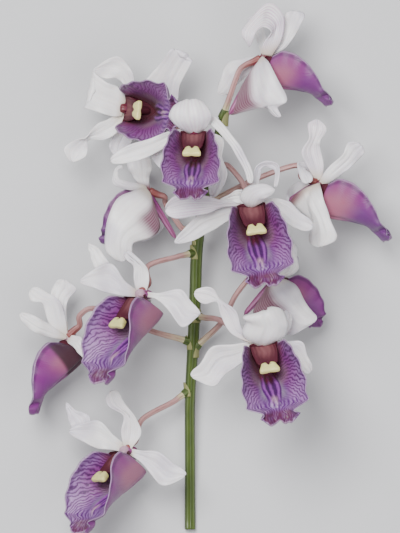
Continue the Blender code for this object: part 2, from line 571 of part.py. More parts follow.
def build_bloom(name, bloom, into):
    """The five pieces of one bloom. Returns the direction in which its pedicel leaves the stem."""
    axes = look_axes(bloom["look"])
    heart = place(*bloom["heart"])
    size = bloom["size"]
    forward = axes @ Vector((0, 0, 1))
    parts = collection(name + "_parts", helper=True)
    root = bmesh.new()
    bmesh.ops.create_icosphere(root, subdivisions=1, radius=HEART_RADIUS)
    bmesh.ops.translate(root, vec=heart, verts=root.verts)
    body = new_object(name + "_heart", root, into, "tepals")
    back = stub_direction(bloom, heart, axes)
    stub_end = heart + back * STUB_LENGTH
    new_object("stub", rod(heart, stub_end, STUB_ROOT_RADIUS, STUB_RADIUS, KNOB_SIDES), parts, "tepals")
    wide, narrow = (radius * size for radius in SPUR_RADII)
    new_object("spur", rod(heart, spur_tip(bloom, heart, axes), wide, narrow, KNOB_SIDES), parts, "tepals")
    for tepal in bloom["tepals"]:
        sheet = tepal_sheet(tepal, bloom["heart"][2], forward)
        solid_sheet("tepal", sheet, BLADE_THICKNESS, parts, "tepals")
    whole = joined(name + "_tepals", body, parts, into)
    cut_at_table(whole)
    scaled = axes @ Matrix.Scale(size, 3)
    lip = placed(lip_sheet("long_root" in bloom), scaled, heart)
    solid_sheet(name + "_lip", lip, LIP_THICKNESS, into, "lip")
    feet = collection(name + "_feet", helper=True)
    if size > FOOT_FROM_SIZE:
        solid_sheet("foot", placed(foot_sheet(size), axes, heart), BLADE_THICKNESS, feet, "column")
    column = new_object("rod", placed(column_solid(size), axes, heart), into, "column")
    joined(name + "_column", column, feet, into)
    new_object(name + "_anther_cap", placed(cap_solid(size), axes, heart), into, "anther_cap")
    line, leave = pedicel_line(bloom, heart, axes)
    tube(name + "_pedicel", line, PEDICEL_RADII, PEDICEL_SIDES, into, "pedicel")
    return leave


def build_stem(leaves, into):
    """The stem with a boss and a small bract under each pedicel."""
    knobs = collection("knobs", helper=True)
    points = [place(x, y, z) for x, y, z, _ in STEM_LINE]
    radii = [radius for *_, radius in STEM_LINE]
    line = [between(points, i / STEM_STEPS) for i in range(STEM_STEPS + 1)]
    thick = [between(radii, i / STEM_STEPS) for i in range(STEM_STEPS + 1)]
    body = tube("stem_rod", line, thick, STEM_SIDES, into, "stem")
    for name, leave in leaves.items():
        foot = foot_on_stem(BLOOMS[name]["foot"])
        new_object("boss", rod(foot, foot + leave * BOSS_REACH, *BOSS_RADII, KNOB_SIDES), knobs, "stem")
        below = Vector((0, -1, 0))
        tip = foot + leave * BRACT_REACH + below * BRACT_DROP
        new_object("bract", rod(foot + below, tip, *BRACT_RADII, KNOB_SIDES), knobs, "stem")
    whole = joined("stem", body, knobs, into)
    cut_at_table(whole)


def main():
    clear_scene()
    spray = collection("dendrobium_spray")
    leaves = {name: build_bloom(name, bloom, spray) for name, bloom in BLOOMS.items()}
    build_stem(leaves, spray)


main()
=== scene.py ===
"""Dresses a cut spray of dendrobium orchid that lies on its back: fine petals, veined lips, columns and stalks.

The tables give places on a plan that is 400 by 533 steps, with X to the right and Y down from its top left corner.
Heights and sizes are in mm, and every piece is made in mm and scaled to metres when it is finished.
"""

import math
from functools import partial

import bmesh
import bpy
from bpy.props import FloatProperty, FloatVectorProperty, IntProperty
from mathutils import Matrix, Vector


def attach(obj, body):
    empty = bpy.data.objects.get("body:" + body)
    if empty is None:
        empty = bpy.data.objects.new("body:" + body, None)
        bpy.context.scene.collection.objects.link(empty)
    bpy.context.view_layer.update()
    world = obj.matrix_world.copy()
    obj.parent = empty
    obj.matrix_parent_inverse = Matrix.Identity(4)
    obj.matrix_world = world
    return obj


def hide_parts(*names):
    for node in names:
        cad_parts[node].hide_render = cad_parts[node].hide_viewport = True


bl_info = {
    "name": "Dendrobium spray",
    "version": (1, 0, 0),
    "blender": (4, 5, 0),
    "location": "3D View > Sidebar > Spray",
    "description": "Builds the petals, lips, columns and stalks of a dendrobium orchid spray",
    "category": "Add Mesh",
}

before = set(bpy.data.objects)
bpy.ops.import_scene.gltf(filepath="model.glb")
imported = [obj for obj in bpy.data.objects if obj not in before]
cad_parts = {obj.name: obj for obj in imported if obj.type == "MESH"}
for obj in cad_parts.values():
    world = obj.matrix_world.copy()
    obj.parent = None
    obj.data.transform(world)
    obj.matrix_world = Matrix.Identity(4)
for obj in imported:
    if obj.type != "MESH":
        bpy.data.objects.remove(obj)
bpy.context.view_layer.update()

# A millimetre in metres.
MM = 0.001
# The plan: one step in mm, its height in steps, its middle, and where that middle lies, in mm.
PLAN_STEP = 0.4
PLAN_HEIGHT = 533
PLAN_MIDDLE = Vector((200.0, 266.5))
PLAN_SHIFT = Vector((-1.6, 0.25, 0.0))

# The stem's middle line from the cut end to the tip: plan place, height, radius.
STEM_LINE = [
    (190, 531, 2.0, 2.2),
    (190, 515, 2.0, 2.2),
    (190, 470, 4.5, 2.1),
    (190, 400, 8.5, 2.1),
    (193, 345, 11.5, 2.3),
    (195, 300, 13.5, 2.4),
    (197, 250, 16.0, 2.4),
    (203, 205, 19.0, 2.2),
    (211, 165, 21.5, 2.0),
    (217, 140, 23.5, 1.8),
    (222, 119, 25.0, 1.5),
]

# Each bloom: the plan place and height of its heart; where it looks (turned right, turned down, rolled left,
# in degrees); its size; the plan Y of its pedicel's foot and the points the pedicel passes; the tip of the spur
# at the back of the bloom, where that is known; whether its lip has a long root; and its tepals. A tepal is a
# pair of edges from root to tip, whose points give the plan place and the height above the heart, then how deep
# it is dished, if that isn't as usual.
BLOOMS = {
    "bloom_01": {
        "heart": (124, 108, 27), "look": (-12, 0, 84), "size": 1.0,
        "foot": 138, "by": [(178, 130, 21), (148, 118, 19)],
        "tepals": [
            ([(126, 100, 0), (118, 87, 2), (106, 82, 3), (94, 72, 3), (96, 74, -3)],
             [(122, 116, 0), (112, 116, 2), (98, 112, 3), (85, 108, 3), (88, 108, -3)]),
            ([(130, 100, -1), (134, 80, 0), (128, 65, 1), (116, 56, 2), (93, 68, 4)],
             [(124, 102, -1), (125, 87, 0), (116, 78, 1), (104, 78, 2), (93, 72, 4)]),
            ([(122, 110, -1), (108, 119, 0), (97, 124, 1), (87, 136, 3), (77, 139, 1), (64, 148, 0),
              (68, 161, -1)],
             [(126, 120, -1), (116, 133, 0), (103, 140, 0), (88, 139, -1), (88, 146, -1),
              (86, 155, -1), (76, 163, -1)]),
            ([(124, 104, -1), (148, 77, -2), (161, 62, 0), (172, 48, 2), (180, 52, -2)],
             [(126, 112, -1), (172, 108, -2), (180, 84, -1), (192, 62, 2), (190, 64, -2)]),
            ([(121, 110, -1), (116, 130, -4), (109, 144, -6), (112, 155, -7)],
             [(128, 110, -1), (134, 130, -4), (130, 144, -6), (122, 155, -7)]),
        ],
    },
    "bloom_02": {
        "heart": (264, 57, 30), "look": (94, -12, 0), "size": 0.86,
        "foot": 119, "by": [(231, 93, 28), (239, 71, 28)],
        "spur": (229, 115, 31),
        "tepals": [
            ([(272, 56, 1), (282, 38, 2), (284, 16, 3), (268, 3, 5), (246, 24, 7), (242, 34, 7),
              (248, 46, 6)],
             [(262, 54, 1), (263, 44, 3), (271, 33, 5), (264, 27, 7), (257, 31, 8), (254, 38, 8),
              (251, 46, 7)]),
            ([(264, 54, -1), (280, 44, -2), (284, 28, -2), (285, 9, -1)],
             [(266, 59, -1), (287, 46, -1), (298, 30, 0), (308, 12, 1)]),
            ([(262, 56, -1), (256, 38, -7), (250, 26, -12), (246, 18, -15)],
             [(268, 56, -1), (266, 36, -7), (262, 22, -12), (256, 14, -15)]),
            ([(263, 56, 2), (270, 64, 8), (281, 86, 11), (287, 101, 11), (277, 108, 10), (284, 117, 10)],
             [(258, 66, 1), (239, 92, 1), (230, 114, 2), (250, 109, 5), (266, 108, 7), (274, 117, 8)]),
            ([(266, 54, -1), (244, 58, -7), (227, 63, -9), (221, 78, -10), (216, 91, -11)],
             [(262, 60, -1), (250, 72, -7), (237, 84, -9), (229, 93, -10), (221, 95, -11)]),
        ],
    },
    "bloom_03": {
        "heart": (194, 131, 56), "look": (-4, 2, 0), "size": 0.95,
        "foot": 155, "by": [(206, 148, 38)],
        "tepals": [
            ([(187, 133, -1), (178, 127, 2), (169, 117, 4), (176, 105, 3), (186, 107, -2)],
             [(201, 133, -1), (208, 126, 2), (212, 116, 4), (203, 102, 3), (200, 106, -2)], -0.14),
            ([(192, 128, -2), (172, 131, 0), (150, 139, 1), (128, 146, 2), (110, 156, 2)],
             [(192, 134, -2), (174, 142, 0), (160, 151, 1), (138, 161, 2), (112, 166, 2)]),
            ([(194, 130, -2), (206, 122, -1), (226, 141, 0), (237, 157, 0), (245, 174, 1), (248, 184, 2)],
             [(196, 124, -2), (214, 117, 0), (236, 141, 0), (246, 158, 1), (252, 172, 2), (254, 183, 2)]),
            ([(193, 134, -1.5), (206, 145, -4), (208, 160, -5), (210, 175, -6), (207, 195, -6)],
             [(196, 130, -1.5), (222, 138, -4), (222, 157, -5), (227, 175, -6), (218, 199, -6)]),
            ([(192, 129, -1.5), (168, 144, -4), (153, 156, -5), (158, 168, -6)],
             [(195, 134, -1.5), (182, 152, -4), (174, 164, -5), (168, 170, -6)]),
        ],
    },
    "bloom_04": {
        "heart": (250, 203, 56), "look": (6, 10, 7), "size": 1.05,
        "foot": 172, "by": [(227, 165, 34), (242, 182, 43)],
        "tepals": [
            ([(246, 206, -1), (240, 197, 2), (246, 188, 5), (262, 184, 7), (272, 187, 8)],
             [(255, 206, -1), (262, 202, 4), (265, 199, 7), (270, 196, 8), (276, 191, 8)], -0.25),
            ([(248, 207, -0.5), (238, 203, -0.5), (219, 202, 0)],
             [(250, 200, -1), (240, 190, 1), (222, 199, 2)]),
            ([(250, 200, -2), (228, 202, 0), (205, 196, 3), (182, 194, 4), (165, 202, 3)],
             [(250, 206, -2), (226, 207, 0), (208, 213, 1), (186, 218, 1), (166, 218, 1)]),
            ([(249, 200, -1.5), (222, 209, -4), (200, 214, -5), (184, 229, -5), (173, 241, -4)],
             [(251, 206, -1.5), (226, 222, -4), (210, 232, -6), (194, 240, -6), (178, 245, -4)]),
            ([(249.5, 199, -1.1), (272, 198, -4), (288, 202, -4), (302, 214, -5), (313, 221, -5)],
             [(251.5, 205, -1.1), (275, 212, -4), (288, 224, -4), (300, 230, -5), (312, 232, -5)]),
            ([(250, 203, -1), (253, 180, -4), (256, 166, -6), (268, 162, -5), (279, 166, -4), (277, 187, -3)],
             [(255, 203, -1), (259, 182, -5), (261, 171, -8), (267, 167, -8), (274, 171, -6),
              (273, 187, -5)]),
        ],
    },
    "bloom_05": {
        "heart": (320, 184, 25), "look": (92, -8, 0), "size": 0.93,
        "foot": 205, "by": [(258, 178, 22), (297, 165, 24)],
        "spur": (289, 201, 25),
        "tepals": [
            ([(316, 182, 0), (306, 163, 2), (302, 152, 3), (309, 138, 3), (308, 124, 2), (314, 119, 1)],
             [(322, 180, 0), (324, 166, 0), (321, 148, 0), (320, 141, 1), (327, 130, 2), (321, 120, 1)]),
            ([(319, 182, 1), (327, 169, 3), (342, 155, 4), (348, 143, 5), (357, 140, 5)],
             [(323, 186, 1), (338, 177, 2), (352, 166, 2), (362, 156, 3), (366, 150, 4)]),
            ([(322, 182, -1), (312, 163, -3), (299, 161, 0), (298, 170, 4), (303, 186, 6)],
             [(318, 186, -1), (311, 172, -2), (305, 169, 2), (310, 173, 5), (315, 180, 7)]),
            ([(320, 183, 2), (323, 195, 9), (329, 216, 10), (337, 236, 10), (328, 246, 10)],
             [(290, 201, 1), (302, 212, 4), (312, 224, 6), (309, 239, 7), (314, 248, 8)]),
            ([(316, 186, -2), (304, 182, -8), (294, 184, -16), (288, 192, -24.6), (286, 202, -24.6)],
             [(300, 196, -2), (294, 200, -8), (300, 200, -16), (300, 204, -24.6), (294, 210, -24.6)]),
        ],
    },
    "bloom_06": {
        "heart": (146, 190, 22), "look": (-115, 4, 0), "size": 0.72,
        "foot": 238, "by": [(180, 226, 17), (166, 204, 17)],
        "spur": (176, 239, 22),
        "tepals": [
            ([(142, 188, 0), (134, 178, 1), (128, 168, 2), (126, 158, 2)],
             [(150, 190, 0), (149, 178, 1), (152, 166, 2), (150, 156, 1)]),
            ([(147, 189, 1), (130, 190, 5), (114, 184, 6), (113, 173, 6), (120, 164, 5)],
             [(144, 185, 1), (131, 182, 5), (119, 178, 7), (118, 170, 7), (124, 168, 6)]),
            ([(143, 191, -1.4), (134, 174, -8), (126, 166, -13)],
             [(149, 190, -1), (146, 174, -8), (138, 162, -14)]),
            ([(145, 187, 1), (133, 191, 8), (118, 198, 11), (109, 214, 13), (105, 236, 13),
              (106, 250, 12), (113, 261, 11)],
             [(154, 208, 6), (160, 226, 7), (152, 237, 9), (134, 243, 12), (132, 252, 12), (131, 261, 11)]),
            ([(146, 189, -1), (154, 200, -11), (148, 214, -17), (138, 224, -21.6), (128, 228, -21.6)],
             [(151, 191, -1), (168, 206, -11), (164, 226, -17), (152, 238, -21.6), (138, 244, -21.6)]),
        ],
    },
    "bloom_07": {
        "heart": (140, 294, 40), "look": (-50, 14, -2), "size": 1.07,
        "foot": 252, "by": [(176, 257, 22), (148, 266, 30)],
        "spur": (152, 295, 35.6), "long_root": True,
        "tepals": [
            ([(137, 294, -1), (134, 280, 0), (133, 266, 1), (126, 259, 2), (122, 255, 2)],
             [(146, 294, -1), (149, 280, 0), (147, 268, 1), (137, 257, 2), (129, 250, 2)]),
            ([(138, 291, -1.3), (124, 280, 1), (112, 264, 2), (97, 268, 3), (80, 278, 3)],
             [(138, 297, -1), (124, 296, 1), (108, 293, 2), (94, 288, 3), (80, 284, 3)]),
            ([(112, 268, 1), (105, 257, 0), (97, 247, -1), (88, 243, -2)],
             [(98, 274, 1), (93, 264, 0), (90, 254, -1), (88, 247, -2)]),
            ([(142, 291, -1), (160, 293, 1), (180, 289, 2), (190, 300, 2), (202, 312, 1)],
             [(143, 297, -1), (156, 299, 1), (169, 311, 2), (182, 327, 3), (196, 318, 1)]),
            ([(138, 294, -1.4), (132, 299, -9), (112, 310, -12), (96, 340, -13)],
             [(141, 297, -1.4), (137, 306, -9), (120, 328, -12), (104, 346, -13)]),
            ([(139, 296, -1.4), (137, 303, -10), (132, 322, -14), (132, 344, -14)],
             [(144, 293, -1.4), (151, 300, -10), (150, 322, -14), (140, 342, -14)]),
        ],
    },
    "bloom_08": {
        "heart": (65, 339, 22), "look": (-88, 20, 0), "size": 0.86,
        "foot": 343, "by": [(148, 330, 18), (98, 309, 24), (80, 315, 24)],
        "spur": (75, 336, 19), "long_root": True,
        "tepals": [
            ([(60, 338, 1), (48, 322, 3), (42, 304, 4), (31, 301, 4), (27, 294, 4)],
             [(68, 338, 1), (65, 318, 2), (60, 302, 3), (46, 292, 4), (34, 285, 4)]),
            ([(62, 336, -2), (54, 316, -3), (50, 296, -4), (54, 284, -4), (59, 278, -4)],
             [(68, 334, -2), (66, 312, -3), (68, 300, -4), (76, 290, -4), (70, 282, -4)]),
            ([(66, 336, 1), (50, 325, 4), (40, 319, 7), (30, 314, 8), (21, 312, 8)],
             [(66, 341, 1), (48, 337, 4), (34, 332, 7), (24, 324, 8), (18, 316, 8)]),
            ([(65, 342, 1), (72, 346, 6), (78, 353, 7), (86, 362, 7)],
             [(67, 335, 0), (80, 337, 5), (84, 346, 6), (92, 356, 6)]),
            ([(64, 337, -1.4), (61, 340, -9), (52, 360, -14), (46, 372, -15)],
             [(67, 341, -1.4), (71, 342, -9), (66, 362, -14), (54, 376, -15)]),
        ],
    },
    "bloom_09": {
        "heart": (262, 342, 44), "look": (7, 8, 9), "size": 1.05,
        "foot": 316, "by": [(222, 321, 26), (244, 338, 34)],
        "tepals": [
            ([(256, 345, -1), (242, 334, 2), (246, 322, 5), (243, 317, 7), (256, 313, 8)],
             [(268, 345, -1), (284, 336, 2), (288, 326, 4), (284, 312, 6), (274, 304, 7)], -0.2),
            ([(258, 346, -1), (232, 334, 0), (221, 316, 1), (217, 302, 2), (205, 304, 3), (193, 298, 3)],
             [(260, 338, -1), (243, 330, 0), (236, 311, 1), (221, 300, 2), (212, 288, 3), (196, 287, 3)]),
            ([(264, 344, -2), (282, 338, -4), (291, 326, -5), (292, 316, -6)],
             [(262, 338, -2), (274, 330, -4), (282, 320, -5), (285, 308, -6)]),
            ([(261, 339, -1.5), (236, 344, -4), (212, 347, -5), (200, 364, -5), (188, 373, -5)],
             [(263, 345, -1.5), (240, 364, -4), (226, 374, -5), (214, 386, -5), (196, 381, -5)]),
            ([(261.5, 338, -1.1), (286, 341, -4), (302, 342, -5), (308, 357, -6), (314, 368, -6)],
             [(263.5, 344, -1.1), (284, 354, -4), (292, 362, -5), (302, 370, -6), (307, 376, -6)]),
        ],
    },
    "bloom_10": {
        "heart": (277, 278, 24), "look": (132, -4, 0), "size": 0.75,
        "foot": 351, "by": [(222, 322, 16), (236, 295, 20), (252, 276, 22)],
        "spur": (244, 315, 24),
        "tepals": [
            ([(274, 278, 0), (284, 268, 1), (286, 254, 2), (288, 242, 2)],
             [(282, 280, 0), (298, 270, 1), (297, 256, 2), (298, 245, 1)]),
            ([(275, 280, 0.5), (264, 270, 3), (259, 260, 3), (260, 250, 3)],
             [(279, 276, 0.5), (274, 264, 3), (270, 254, 3), (267, 247, 3)]),
            ([(276, 275, -1), (286, 266, -8), (289, 256, -12), (290, 250, -14)],
             [(279, 280, -1), (296, 270, -8), (299, 260, -12), (296, 252, -14)]),
            ([(278, 276, 1), (296, 285, 7), (303, 298, 7), (312, 311, 8), (320, 319, 8)],
             [(264, 294, 1), (254, 314, 3), (278, 328, 5), (291, 335, 7), (306, 328, 8)]),
            ([(272, 280, -1), (268, 298, -13), (282, 316, -17), (294, 324, -18)],
             [(267, 285, -1), (254, 304, -12), (270, 324, -17), (288, 332, -18)]),
        ],
    },
    "bloom_11": {
        "heart": (124, 451, 26), "look": (-52, 9, 0), "size": 1.04,
        "foot": 390, "by": [(172, 403, 13), (142, 420, 18)],
        "spur": (136, 451, 21.6), "long_root": True,
        "tepals": [
            ([(124, 450, 0), (121, 432, 1), (123, 416, 2), (108, 406, 3), (105, 394, 3)],
             [(130, 451, 0), (141, 434, 0), (136, 419, 1), (124, 402, 2), (117, 388, 2)]),
            ([(126, 446, -1), (112, 434, 1), (99, 421, 2), (84, 423, 3), (69, 428, 3)],
             [(126, 453, -1), (110, 450, 1), (98, 449, 2), (83, 442, 3), (69, 435, 3)]),
            ([(90, 433, 3.4), (89, 416, 2), (77, 411, 1), (66, 402, 0)],
             [(75, 434, 3), (70, 425, 2), (67, 414, 1), (65, 405, 0)]),
            ([(126, 448, -1), (142, 451, 1), (158, 452, 2), (174, 464, 2), (188, 472, 2)],
             [(127, 454, -1), (140, 462, 1), (152, 476, 2), (163, 486, 3), (182, 480, 2)]),
            ([(122, 448, -1.4), (112, 451, -10), (92, 472, -14), (84, 496, -15)],
             [(125, 453, -1.4), (120, 455, -10), (104, 484, -14), (90, 502, -15)]),
            ([(122, 452, -1.4), (123, 454, -9), (118, 476, -13), (114, 500, -13)],
             [(127, 449, -1.4), (135, 454, -10), (134, 476, -13), (124, 496, -13)]),
        ],
    },
}

for name, bloom in BLOOMS.items():
    bloom["name"] = name

# How strongly lilac veins show on some tepals, where the usual is faint: the bloom, and the tepal's number from 0.
PETAL_VEINS = {
    ("bloom_02", 0): 0.6, ("bloom_02", 3): 0.15, ("bloom_03", 0): 0.25, ("bloom_04", 0): 0.15,
    ("bloom_04", 2): 0.5, ("bloom_05", 0): 0.4, ("bloom_09", 1): 0.3, ("bloom_11", 0): 0.2,
}
FAINT_VEINS = 0.07

# Maroon-pink blush on some tepals: from and to which side it grows, from and to which share of the length it fades.
BLUSHES = {
    ("bloom_02", 3): (-0.3, 0.1, 0.42, 0.6), ("bloom_05", 3): (-0.6, 0.6, 0.02, 0.16),
    ("bloom_06", 0): (-2.0, -1.5, 0.05, 0.3), ("bloom_06", 3): (-0.2, 0.3, 0.3, 0.5),
    ("bloom_10", 3): (-0.3, 0.1, 0.35, 0.55),
}
# A fold along some tepals: the side beyond which the blade lies lower, at the root and how it shifts along the
# blade, and by how much it lies lower.
FOLDS = {("bloom_01", 3): (0.25, 0.0, 1.4), ("bloom_02", 3): (-1.05, 1.7, 2.2), ("bloom_05", 3): (-0.7, 3.0, 2.2)}

# Limbs that grow out of another tepal's face: their root is sunk into it, to a share of their length, and untinted.
LIMBS = (("bloom_07", 2), ("bloom_11", 2))
LIMB_SUNK = 2.2
LIMB_SUNK_TO = 0.25

# How much deeper the colour is outside some lips.
LIP_DEPTHS = {"bloom_02": 0.3, "bloom_07": 0.55, "bloom_08": 0.55, "bloom_10": 0.5, "bloom_11": 0.6}
# Where the root of a lip is dark maroon deepened with painted shade: from and to which share of its length it
# fades at the margin, and how much further it reaches at the floor.
SHADED_LIP_ROOTS = {"bloom_08": (0.19, 0.25, 0.2)}
# How much rosier the colour is inside some lips.
ROSY_LIPS = {"bloom_01": 0.45, "bloom_03": 0.25, "bloom_04": 0.12}
# How far the right wall of some lips folds back.
FOLDED_WALLS = {"bloom_07": 0.12, "bloom_11": 0.12}

# A blade of a tepal: its cells across and along, how deep it is dished as a share of its width, and the share
# from which its tip rounds and how wide the tip ends. Its direction is read over a short step along it, and its
# dish turns over where the blade turns its other face to the front.
TEPAL_CELLS = (16, 52)
TEPAL_DISH = 0.12
TIP_FROM = 0.86
TIP_WIDTH = 0.22
STEP_ALONG = 0.03
DISH_TURNS = 3.0
# Its midrib, its fold, the grooves between its veins and the waves of its margin, and where each of them grows out
# of the root. The waves are shifted from one tepal to the next, and on the right margin.
MIDRIB_HEIGHT = 0.04
MIDRIB_WIDTH = 0.12
MIDRIB_GROWS = (0.0, 0.2)
MARGIN_WAVES = 17.0
WAVES_NEXT_TEPAL = 2.1
WAVES_RIGHT = 1.4
GROOVE_DEPTH = 0.16
GROOVES = 10.0
WAVES_GROW = (0.1, 0.4)
FOLD_SOFTNESS = 0.08
FOLD_GROWS = (0.02, 0.2)
ROOT_TINT = 0.7

# The lip's floor and its free margin, as (forward, up) from the heart, and its half width, from root to tip.
# A bloom seen from its side shows more of the lip's root, and its floor starts further back.
LIP_CELLS = (64, 72)
LIP_FLOOR = [(-4.0, -12.5), (1.0, -15.4), (6.5, -17.2), (12.5, -19.0), (18.5, -22.0), (23.5, -27.0)]
LONG_LIP_FLOOR = [(-8.8, -10.0), (-3.0, -14.0), (4.5, -17.0), (11.5, -19.0), (18.5, -22.0), (23.5, -27.0)]
LIP_MARGIN = [Vector(p) for p in ((3.6, -0.5), (9.0, 1.0), (15.5, -3.0), (20.5, -11.0), (23.5, -20.5), (25.5, -26.0))]
LIP_HALF_WIDTH = [5.5, 7.9, 10.0, 12.0, 11.6, 8.6]
# How a wall curves up from the floor, how much of its spread is straight, the shares over which it folds back, and
# how thick its margin is as a share of its middle.
WALL_CURVE = 1.7
STRAIGHT_SPREAD = 0.35
WALL_FOLDS = (0.3, 0.6)
LIP_MARGIN_SHARE = 0.5
# The three ridges on the floor: the shares over which they rise, fall and draw together, their width, the place
# and height of the outer two, how far forward they lean, the swelling that they stand on, and how many stripes as
# wide as theirs would fill the lip.
KEELS_RISE = (0.06, 0.2)
KEELS_FALL = (0.76, 0.86)
KEELS_MEET = (0.35, 0.8)
KEELS_CLOSE = 0.5
KEEL_WIDTH = 0.06
OUTER_KEEL_AT = 0.19
OUTER_KEEL_HEIGHT = 0.9
KEEL_LEAN = 0.6
KEEL_BED = 0.5
KEEL_BED_EDGE = (0.15, 0.35)
KEEL_STRIPES = 10.5
# The end lobe: the shares over which it narrows and spreads again, and by how much, how far its walls close, how
# deep it is cupped, and where its rounded end starts and how long that is.
LOBE_FROM = 0.81
LOBE_TO = 0.87
LOBE_SPREADS_TO = 0.95
LOBE_NARROWS = 0.42
LOBE_SPREADS = 0.22
LOBE_CLOSES = 0.25
LOBE_CUP = 2.6
LOBE_CUP_UNEVEN = 0.4
LOBE_CUP_WAVES = (9.0, 20.0)
END_FROM = 0.9
END_LENGTH = 0.1
END_ROUNDS = 0.5
SCALLOP = 1.5
# The frills: plain waves across the lip's end, a flutter of its margin that grows from root to tip, an uneven curl
# of its lobe, and pleats in its walls, which lean to the root as the veins do and fade at the floor and the margin.
PLAIN_FRILL = 0.6
PLAIN_WAVES = 9.0
PLAIN_FRILL_FROM = 0.6
FRILL_AT_ROOT = 0.15
FRILL_GROWS = 1.3
FLUTTERS = 40.0
CURLS = 14.0
CURL_SHIFT = 0.8
CURL_UNEVEN = 0.4
CURL_SWINGS = 5.0
CURL_EDGE = (0.3, 1.0)
PLEAT_DEPTH = 0.02
PLEATS_RISE = (0.2, 0.6)
PLEATS_FALL = (0.8, 0.95)
VEIN_LEAN = 0.55
MIDDLE_LINE = 0.01

# The heart, and the stub by which the pedicel meets it, a little behind it.
HEART_RADIUS = 3.0
JOINT_GAP = 0.3
STUB_LENGTH = 5.0
STUB_LEAN_BACK = 0.6
# The spur behind the heart, where the table gives no tip for it, and how far in front of the heart it starts, as a
# share of the heart's radius.
SPUR_ALONG = Vector((0.0, -0.88, -0.48))
SPUR_LENGTH = 13.5
HEART_BULGE = 0.6
SPUR_RADII = [1.9, 1.9, 1.2]
SPUR_ROOT_RADIUS = 1.3
SPUR_ROUNDED = 0.08

# The column: its direction, length, half widths and half depths; how hollow its upper side is and how full the
# side that faces the lip is; how far it is sunk into the heart; the share from which its tip closes, and how much it
# narrows and thins there; its foot, as (radius, up, forward), which only the larger blooms have.
COLUMN_ALONG = Vector((0.0, -0.54, 0.84))
COLUMN_LENGTH = 9.4
COLUMN_CELLS = (24, 20)
COLUMN_WIDTH = [5.0, 5.0, 4.8, 4.4, 4.1]
COLUMN_DEPTH = [1.2, 1.4, 1.4, 1.3, 1.1]
COLUMN_HOLLOW = 1.3
COLUMN_UNDER_DEPTH = 0.35
COLUMN_SUNK = 1.2
COLUMN_CLOSES_FROM = 0.86
COLUMN_NARROWS = 0.12
COLUMN_THINS = 0.4
FOOT_LINE = [(2.2, -3.0, 3.0), (2.0, -7.0, -0.62), (1.4, -10.0, -2.9)]
FOOT_FROM_SIZE = 0.8
FOOT_SLIM = 0.9
FOOT_ROUNDED = 0.1
# The throat's wall behind the column: it rises from the lip's root, dips in the middle and turns back at its top.
THROAT_CELLS = (24, 16)
THROAT_BULGE = 0.3
THROAT_TURN = 0.6
THROAT_TURN_SOFT = 0.2
THROAT_DIP = 3.4
THROAT_BACK = Vector((0.0, 0.4, -1.0))
# The anther cap: its size, how blunt it is, its share of that width by the column and how much wider its free end
# is, how it thins to that end, how far its corners reach out, and the depth and width of its notch and its groove.
CAP_CELLS = (32, 20)
CAP_HALF_LENGTH = 2.3
CAP_HALF_WIDTH = 4.1
CAP_HALF_DEPTH = 1.7
CAP_BLUNT = 0.55
CAP_ROOT_WIDTH = 0.76
CAP_WIDENS = 0.3
CAP_THINS = 0.5
CAP_CORNERS = 0.7
CAP_NOTCH = (2.0, 0.13)
CAP_GROOVE = (0.35, 0.1)

# The stalks: a pedicel's radii from stem to bloom, how straight it ends and how far its foot is sunk, the boss that
# it grows from, and the scale under the boss, with its distances from the stem's middle, its half length, how far
# it clasps the stem, how it tapers, and its thickness, in metres. Rounded ends are shares of a stalk's length.
PEDICEL_RADII = [1.35, 1.25, 1.15, 1.1, 1.1, 1.15, 1.25, 1.5, 1.9]
PEDICEL_END_REACH = 3.0
PEDICEL_SUNK = 1.0
PEDICEL_ROUNDED = 0.03
BOSS_RADII = [2.0, 1.9, 1.7, 1.5]
BOSS_REACH = 4.6
BOSS_MIDDLE = 2.4
BOSS_ROUNDED = 0.15
BRACT_CELLS = (10, 14)
BRACT_RADII = [2.4, 2.5, 2.7, 3.0]
BRACT_HALF_LENGTH = 2.88
BRACT_CLASP = 1.1
BRACT_TAPERS = 0.85
BRACT_THICKNESS = 0.0004
BRACT_MARGIN_SHARE = 0.5
# Nothing lies lower than the first, and points closer than the second are joined.
TABLE_REST = 0.35
SAME_POINT = 0.00001
# The steps along each stalk, the sides round it, and the radius that its rounded ends keep.
STEM_STEPS = 120
STEM_SIDES = 24
BOSS_STEPS = 16
FOOT_STEPS = 16
PEDICEL_STEPS = 48
STALK_SIDES = 16
SPUR_STEPS = 24
SPUR_SIDES = 20
END_RADIUS = 0.02

# The stage: the level that the camera frames, in mm, its sensor, also in mm, the floor's half width, in metres, the
# sky, and the lights' places and widths, in metres.
VIEW_LEVEL = 38.0
SENSOR_WIDTH = 36.0
FLOOR_HALF_WIDTH = 2.5
SKY_COLOUR = (0.9, 0.93, 1.0, 1.0)
SKY_STRENGTH = 0.3
KEY_PLACE = (-0.3, 0.4, 1.4)
KEY_WIDTH = 0.7
FILL_PLACE = (0.5, -0.4, 1.3)
FILL_WIDTH = 1.0

# How deep the relief of each finish is, and how far red, green and blue light spread in soft tissue, in metres.
TEPAL_RELIEF = 0.0001
LIP_INSIDE_RELIEF = 0.0001
LIP_OUTSIDE_RELIEF = 0.00005
COLUMN_RELIEF = 0.00004
PEDICEL_RELIEF = 0.0002
STEM_RELIEF = 0.0003
BRACT_RELIEF = 0.00006
LIGHT_SPREAD = (0.0012, 0.0008, 0.0006)


def colour_setting(name, description, default):
    """A colour that the user can change."""
    return FloatVectorProperty(name=name, description=description, default=default, subtype="COLOR")


def length_setting(name, description, default):
    """A length that the user can change."""
    return FloatProperty(name=name, description=description, default=default, unit="LENGTH")


def power_setting(name, description, default):
    """A light's power that the user can change."""
    return FloatProperty(name=name, description=description, default=default, unit="POWER")


